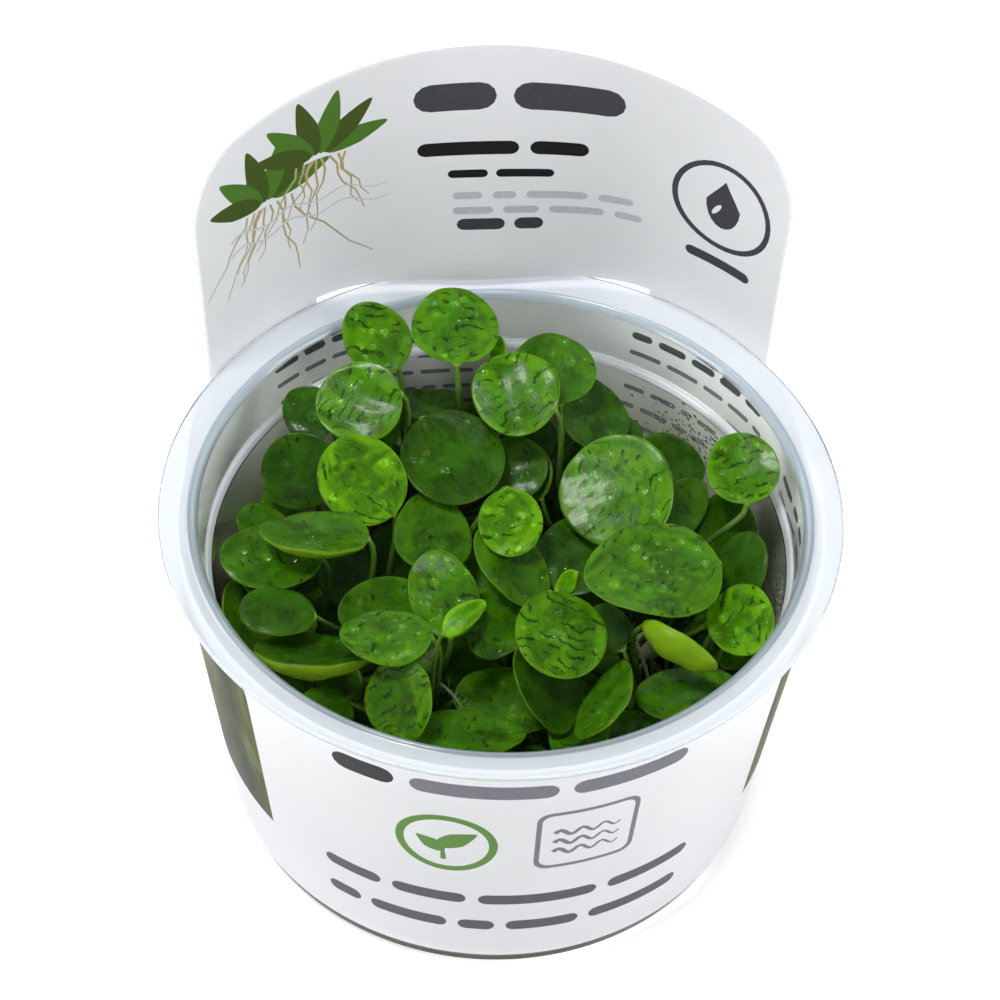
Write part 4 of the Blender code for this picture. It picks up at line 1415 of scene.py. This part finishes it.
class FROGBIT_OT_understory(bpy.types.Operator):
    """Make the buds, the young leaves and the low leaves that fill the cup"""

    bl_idname = "frogbit.understory"
    bl_label = "Buds and low leaves"

    def execute(self, context):
        scene = context.scene
        plants, cup = scene.frogbit_plants, scene.frogbit_cup
        material = waxy_leaf(plants)
        crowd = Crowd()
        for name, blade, path in all_leaves(plants):
            crowd.add(name, *lofted(leaf_skin(blade, path, plants.petiole_radius, 12, 10)[0]))
        draw = random.Random(21)
        heaps = {}
        seed = 200
        for name, (letter, spec, tone) in YOUNG_LEAVES.items():
            seed += 1
            for step in range(YOUNG_TRIES):
                shake = [draw.uniform(-1, 1) * 0.03 * step for _ in range(3)]
                turned_spec = tuple(a + b for a, b in zip(spec, shake)) + spec[3:]
                found = small_leaf(turned_spec, PLANTLETS[letter][0], plants, seed, 16, 12)
                if wall_clear(found[3], cup) and not crowd.hits(*found[3:]):
                    break
            self.heap(heaps, letter, found, tone)
            crowd.add(name, *found[3:])
        crowns = {letter: place for letter, (place, _) in PLANTLETS.items()}
        for way in LIGHT_WAYS:
            self.fill(Vector(way).normalized(), crowns, crowd, heaps, draw, plants, cup)
        for letter, (verts, faces, spots, sizes, tones) in heaps.items():
            add_piece("low_leaves_" + letter, verts, faces, [material],
                      fields={"spot": spots, "size": sizes, "tone": tones})
        return {"FINISHED"}

    def fill(self, way, crowns, crowd, heaps, draw, plants, cup):
        """Let leaves grow where light from a way still falls through to the gel."""
        step, level, room = 2.6 * MM, 12.0 * MM, 37.5 * MM
        grid = [Vector((i * step, j * step, level)) for i in range(-15, 16)
                for j in range(-15, 16) if math.hypot(i, j) * step < room]
        behind = math.degrees(math.atan2(-way.x, -way.y)) if way.z < 0.95 else None
        for turn in range(-100, 101, 5) if behind is not None else ():
            reach = cup.base_radius - cup.wall - 0.2 * MM
            angle = math.radians(behind + turn)
            top = 40 if abs(turn) < 60 else 30
            grid += [Vector((reach * math.sin(angle), reach * math.cos(angle), z * MM))
                     for z in range(14, top, 3)]
        gaps = [point for point in grid if not crowd.shades(point, way)]
        while gaps:
            gap = gaps.pop(draw.randrange(len(gaps)))
            if crowd.shades(gap, way):
                continue
            near = sorted(crowns, key=lambda key: math.hypot(
                crowns[key][0] - gap.x / MM, crowns[key][1] - gap.y / MM))[:3]
            for trial in range(LOW_TRIES):
                letter = near[trial % 3]
                spec = low_leaf_spec(crowns[letter], gap, way, draw)
                seed = draw.randrange(10000)
                found = small_leaf(spec, crowns[letter], plants, seed, 16, 10)
                if wall_clear(found[3], cup) and not crowd.hits(*found[3:]):
                    # Low leaves mostly take the dark tone, partly as painted shade, since they stand
                    # under the others
                    self.heap(heaps, letter, found, draw.choice(("dark", "dark", "plain")))
                    crowd.add(seed, *found[3:])
                    break

    def heap(self, heaps, letter, found, tone):
        """Gather one leaf with the others of its crown."""
        verts, faces, spots, sizes, tones = heaps.setdefault(letter, ([], [], [], [], []))
        rings, new_spots, new_sizes = found[:3]
        before = len(verts)
        loft(rings, verts, faces)
        spots += new_spots
        sizes += new_sizes
        tones += [TONES[tone][:3]] * (len(verts) - before)


class FROGBIT_OT_leaves(bpy.types.Operator):
    """Make the large leaves, each a blade on its petiole"""

    bl_idname = "frogbit.leaves"
    bl_label = "Leaves"

    def execute(self, context):
        plants = context.scene.frogbit_plants
        material = waxy_leaf(plants)
        for name, blade, path in all_leaves(plants):
            rings, spots, sizes = leaf_skin(blade, path, plants.petiole_radius)
            verts, faces = lofted(rings)
            tone = TONES[LEAF_TONES.get(name, "plain")][:3]
            add_piece(name + "_skin", verts, faces, [material], replaces=name,
                      fields={"spot": spots, "size": sizes, "tone": [tone] * len(verts)})
        return {"FINISHED"}


# Crowns and roots

# A crown's outline, as (height, radius) in mm about its middle
CROWN_OUTLINE = ((3.2, 0.8), (2.7, 1.4), (1.9, 1.9), (0.9, 2.2), (0.0, 2.3), (-1.0, 2.05),
                 (-1.8, 1.7), (-2.5, 1.1), (-2.9, 0.6))


def crown_tissue():
    """Young stem and root tissue: pale green to cream, matt and a little translucent."""
    material, tree, shader = new_material("crown_and_root_tissue")
    place = add_node(tree, "TexCoord").outputs["Object"]
    streaks = add_node(tree, "Mapping", inputs={"Vector": place, "Scale": (1.0, 1.0, 0.25)})
    fibre = add_node(tree, "TexNoise", inputs={"Vector": streaks, "Scale": 900.0, "Detail": 3.0})
    tint = add_node(tree, "Mix", COLOUR_MIX, {
        "Factor": fibre, 6: linear("7f9a45"), 7: linear("dfe3bf")})
    bump = add_node(tree, "Bump", inputs={"Height": fibre, "Strength": 0.3, "Distance": 0.1 * MM})
    fill_inputs(shader, {
        "Base Color": tint, "Normal": bump, "Roughness": 0.45, "Subsurface Weight": 0.2,
        "Subsurface Scale": 0.4 * MM})
    return material


def add_hair(point, away, thick, verts, faces):
    """A root hair that stands out from a point; thick is its radius in mm at its foot and end."""
    loft(tube_rings([point, point + away], [size * MM for size in thick], 3), verts, faces)


def add_root(start, lean, floor, draw, verts, faces, hairs):
    """A thin wavy root down to the gel, with fine hairs standing out from it."""
    drop = start.z - floor
    path = []
    sway = draw.uniform(0, math.tau)
    for step in range(9):
        share = step / 8
        drift = lean * (share ** 1.4) * draw.uniform(4.0, 6.0) * MM
        wave = Vector((math.cos(sway + share * 5), math.sin(sway + share * 4), 0)) * 0.5 * MM * share
        path.append(start + drift + wave - Vector((0, 0, drop * share)))
    radii = [(0.24 - 0.12 * step / 8) * MM for step in range(9)]
    loft(tube_rings(path, radii, 7), verts, faces)
    for _ in range(hairs):
        share = draw.uniform(0.15, 0.95) * 8
        low = int(share)
        point = path[low].lerp(path[min(low + 1, 8)], share - low)
        turn = draw.uniform(0, math.tau)
        away = Vector((math.cos(turn), math.sin(turn), draw.uniform(-0.3, 0.3)))
        reach = draw.uniform(0.7, 1.6) * MM
        add_hair(point, away * reach, (0.035, 0.012), verts, faces)


class FROGBIT_OT_crowns(bpy.types.Operator):
    """Make the crowns and their roots"""

    bl_idname = "frogbit.crowns"
    bl_label = "Crowns and roots"

    def execute(self, context):
        material = crown_tissue()
        floor = context.scene.frogbit_cup.gel_top
        draw = random.Random(11)
        for letter, (place, _) in PLANTLETS.items():
            centre = Vector(place) * MM
            verts, faces = [], []
            rings = []
            for height, radius in CROWN_OUTLINE:
                ring = []
                for step in range(18):
                    turn = math.tau * step / 18
                    ridge = radius * (1.0 + 0.06 * math.sin(6 * turn))
                    ring.append(centre + Vector((ridge * math.cos(turn), ridge * math.sin(turn),
                                                 height)) * MM)
                rings.append(ring)
            loft(rings, verts, faces)
            for index in range(12):
                turn = math.tau * (index + draw.uniform(-0.3, 0.3)) / 12
                lean = Vector((math.cos(turn), math.sin(turn), 0.0)) * draw.uniform(0.2, 1.0)
                start = centre + lean.normalized() * 1.5 * MM - Vector((0, 0, 1.4 * MM))
                add_root(start, lean, floor, draw, verts, faces, 26)
            add_piece("crown_" + letter + "_rooted", verts, faces, [material],
                      replaces="crown_" + letter)
        verts, faces = [], []
        for route in WHITE_ROOTS:
            self.white_root([Vector(point) * MM for point in route], draw, verts, faces)
        add_piece("white_roots", verts, faces, [material])
        return {"FINISHED"}

    def white_root(self, route, draw, verts, faces):
        """A root that rises from its crown, with a tuft of hairs toward its end."""
        steps = 20
        path = [bezier(route, step / steps) for step in range(steps + 1)]
        radii = [(0.32 - 0.18 * step / steps) * MM for step in range(steps + 1)]
        loft(tube_rings(path, radii, 8), verts, faces)
        for _ in range(70):
            point = bezier(route, draw.uniform(0.45, 1.0))
            away = Vector([draw.uniform(-1, 1) for _ in range(3)]).normalized()
            reach = draw.uniform(0.8, 2.0) * MM
            add_hair(point, away * reach, (0.05, 0.015), verts, faces)


# Water drops

# How many fine drops are tried on the cup's wall
MIST_DROPS = 620


def clean_water():
    """Clear water: a smooth bead that gathers light to a bright point."""
    material, tree, shader = new_material("clear_water")
    place = add_node(tree, "TexCoord").outputs["Object"]
    ripple = add_node(tree, "TexNoise", inputs={"Vector": place, "Scale": 700.0, "Detail": 1.0})
    bump = add_node(tree, "Bump", inputs={"Height": ripple, "Strength": 0.05, "Distance": 0.1 * MM})
    fill_inputs(shader, {
        "Normal": bump, "Base Color": (1.0, 1.0, 1.0, 1.0), "Roughness": 0.0,
        "Transmission Weight": 1.0, "IOR": 1.333})
    return material


def add_drop(blade, across, along, radius, verts, faces):
    """A flattened bead on the top of a blade."""
    step = 0.02
    here = blade.point(across, along, 1)
    ahead = blade.point(across, along + step, 1) - blade.point(across, along - step, 1)
    sideways = blade.point(across + step, along, 1) - blade.point(across - step, along, 1)
    up = ahead.cross(sideways).normalized()
    if up.dot(blade.normal) < 0:
        up.negate()
    add_bead(here, up, ahead.normalized(), radius, verts, faces)


def add_bead(here, up, one, radius, verts, faces):
    """A flattened bead of water at a place, standing out along up."""
    two = up.cross(one)
    rings = []
    for lift, share in ((-0.12, 0.84), (0.04, 0.98), (0.25, 1.0), (0.46, 0.88), (0.63, 0.66),
                        (0.73, 0.38), (0.76, 0.12)):
        turns = [math.tau * k / 12 for k in range(12)]
        rings.append([here + (one * math.cos(t) + two * math.sin(t)) * radius * share
                      + up * radius * lift for t in turns])
    loft(rings, verts, faces)


class FROGBIT_OT_drops(bpy.types.Operator):
    """Make the water drops that lie on the blades"""

    bl_idname = "frogbit.drops"
    bl_label = "Water drops"

    def execute(self, context):
        plants = context.scene.frogbit_plants
        material = clean_water()
        draw = random.Random(5)
        beads = {}
        for name, blade, _ in all_leaves(plants):
            verts, faces = beads.setdefault(name[5], ([], []))
            taken = []
            for _ in range(TONES[LEAF_TONES.get(name, "plain")][3]):
                rim, turn = math.sqrt(draw.uniform(0.0, 0.72)), draw.uniform(0, math.tau)
                radius = plants.drop_radius * (1.9 if name == "leaf_g3" and not taken
                                               else draw.uniform(0.4, 1.0) ** 1.5)
                along = 0.5 + rim * math.cos(turn) / 2
                spread = math.sqrt(1.0 - (2 * along - 1) ** 2)
                across = rim * math.sin(turn) / spread
                spot = blade.point(across, along, 1)
                if any((spot - other).length < (radius + size) * 1.1 for other, size in taken):
                    continue
                taken.append((spot, radius))
                add_drop(blade, across, along, radius, verts, faces)
        for letter, (verts, faces) in beads.items():
            add_piece("drops_" + letter, verts, faces, [material], clear=True)
        self.mist(context.scene.frogbit_cup, material, draw)
        return {"FINISHED"}

    def mist(self, cup, material, draw):
        """Fine drops where breath from the leaves has wetted the cup's wall."""
        verts, faces, taken = [], [], []
        for _ in range(MIST_DROPS):
            turn = math.radians(draw.choice((draw.gauss(52, 7), draw.gauss(100, 6))))
            height = draw.gauss(41.5, 2.6) * MM
            radius = draw.uniform(0.12, 0.36) * MM
            reach = inner_radius(cup, height)
            here = Vector((reach * math.sin(turn), reach * math.cos(turn), height))
            if any((here - other).length < (radius + size) * 1.05 for other, size in taken):
                continue
            taken.append((here, radius))
            inward = Vector((-math.sin(turn), -math.cos(turn), 0.0))
            add_bead(here + inward * 0.05 * MM, inward, Vector((0, 0, 1)), radius, verts, faces)
        add_piece("wall_mist", verts, faces, [material], clear=True)


# The stage


def studio_floor(glow):
    """Matt white laminate sweep: nearly white, with a barely visible grain."""
    material, tree, shader = new_material("matt_white_laminate")
    place = add_node(tree, "TexCoord").outputs["Object"]
    grain = add_node(tree, "TexNoise", inputs={"Vector": place, "Scale": 40.0, "Detail": 3.0})
    tint = add_node(tree, "Mix", COLOUR_MIX, {
        "Factor": grain, 6: linear("f4f4f4"), 7: linear("fafafa")})
    fill_inputs(shader, {
        "Base Color": tint, "Roughness": 0.7, "Emission Color": (1.0, 1.0, 1.0, 1.0),
        "Emission Strength": glow})
    return material


def area_light(name, place, width, power):
    """A square soft light at a place, turned to the cup's middle."""
    aim = Vector((0.0, 0.0, 0.04))
    light = bpy.data.lights.new(name, "AREA")
    light.size = width
    light.energy = power
    lamp = bpy.data.objects.new(name, light)
    lamp.location = place
    lamp.rotation_euler = (aim - Vector(place)).to_track_quat("-Z", "Y").to_euler()
    bpy.context.scene.collection.objects.link(lamp)


def photo_camera(stage):
    """The camera at the photograph's height, turn, lean and lens."""
    slope, turn = math.radians(stage.elevation), math.radians(-stage.turn)
    ahead = Vector((0.0, math.cos(slope), -math.sin(slope)))
    right = Vector((1.0, 0.0, 0.0))
    place = -ahead * stage.distance + Vector((0.0, 0.0, stage.aim_height))
    look = (ahead + math.tan(math.radians(stage.pan)) * right
            + math.tan(math.radians(stage.lift)) * right.cross(ahead)).normalized()
    across = look.cross(right.cross(ahead)).normalized()
    over = across.cross(look)
    lean = math.radians(stage.roll)
    side = math.cos(lean) * across + math.sin(lean) * over
    top = math.cos(lean) * over - math.sin(lean) * across
    pose = Matrix((side, top, -look)).transposed().to_4x4()
    pose.translation = place
    lens = bpy.data.cameras.new("photo_camera")
    lens.lens = stage.lens
    lens.sensor_width = 36.0
    lens.clip_start = 0.01
    camera = bpy.data.objects.new("photo_camera", lens)
    camera.matrix_world = Matrix.Rotation(-turn, 4, "Z") @ pose
    bpy.context.scene.collection.objects.link(camera)
    bpy.context.scene.camera = camera


class FROGBIT_OT_stage(bpy.types.Operator):
    """Set up the camera, the pale floor and the soft lights"""

    bl_idname = "frogbit.stage"
    bl_label = "Stage"

    def execute(self, context):
        stage = context.scene.frogbit_stage
        photo_camera(stage)
        half, low = 1.5, -0.05 * MM
        mesh = bpy.data.meshes.new("studio_floor")
        signs = ((-1, -1), (1, -1), (1, 1), (-1, 1))
        mesh.from_pydata([(x * half, y * half, low) for x, y in signs], [], [(0, 1, 2, 3)])
        mesh.materials.append(studio_floor(stage.floor_glow))
        floor = bpy.data.objects.new("studio_floor", mesh)
        context.scene.collection.objects.link(floor)
        area_light("top_softbox", (-0.22, -0.12, 0.88), 0.17, stage.key_power)
        area_light("back_light", (-0.1, 0.42, 0.62), 0.07, stage.key_power * 0.1)
        area_light("left_softbox", (-0.82, -0.28, 0.36), 0.4, stage.side_power)
        area_light("right_softbox", (0.82, -0.28, 0.36), 0.4, stage.side_power * 1.15)
        world = bpy.data.worlds.new("studio_air")
        world.use_nodes = True
        air = world.node_tree.nodes["Background"]
        fill_inputs(air, {"Color": linear("f2f5fa"), "Strength": stage.air})
        context.scene.world = world
        context.scene.view_settings.view_transform = "Standard"
        return {"FINISHED"}


# The panel and the run


class FROGBIT_PT_panel(bpy.types.Panel):
    """Lists the makers and the sizes"""

    bl_idname = "FROGBIT_PT_panel"
    bl_label = "Frogbit"
    bl_space_type = "VIEW_3D"
    bl_region_type = "UI"
    bl_category = "Frogbit"

    def draw(self, context):
        for operator in OPERATORS:
            self.layout.operator(operator.bl_idname)
        for group in GROUPS:
            box = self.layout.box()
            settings = getattr(context.scene, group)
            for name in settings.__annotations__:
                box.prop(settings, name)


OPERATORS = (FROGBIT_OT_stage, FROGBIT_OT_cup, FROGBIT_OT_gel, FROGBIT_OT_card,
             FROGBIT_OT_crowns, FROGBIT_OT_leaves, FROGBIT_OT_understory, FROGBIT_OT_drops)
GROUPS = {"frogbit_cup": FrogbitCup, "frogbit_card": FrogbitCard,
          "frogbit_plants": FrogbitPlants, "frogbit_stage": FrogbitStage}


def register():
    """Register the settings, the makers and the panel."""
    for group in GROUPS.values():
        bpy.utils.register_class(group)
    for operator in OPERATORS:
        bpy.utils.register_class(operator)
    bpy.utils.register_class(FROGBIT_PT_panel)
    for name, group in GROUPS.items():
        setattr(bpy.types.Scene, name, PointerProperty(type=group))


def unregister():
    """Take everything off again."""
    for name in GROUPS:
        delattr(bpy.types.Scene, name)
    bpy.utils.unregister_class(FROGBIT_PT_panel)
    for operator in reversed(OPERATORS):
        bpy.utils.unregister_class(operator)
    for group in reversed(GROUPS.values()):
        bpy.utils.unregister_class(group)


def main():
    register()
    for operator in OPERATORS:
        maker = operator.bl_idname.split(".")[1]
        getattr(bpy.ops.frogbit, maker)()


if __name__ == "__main__":
    main()
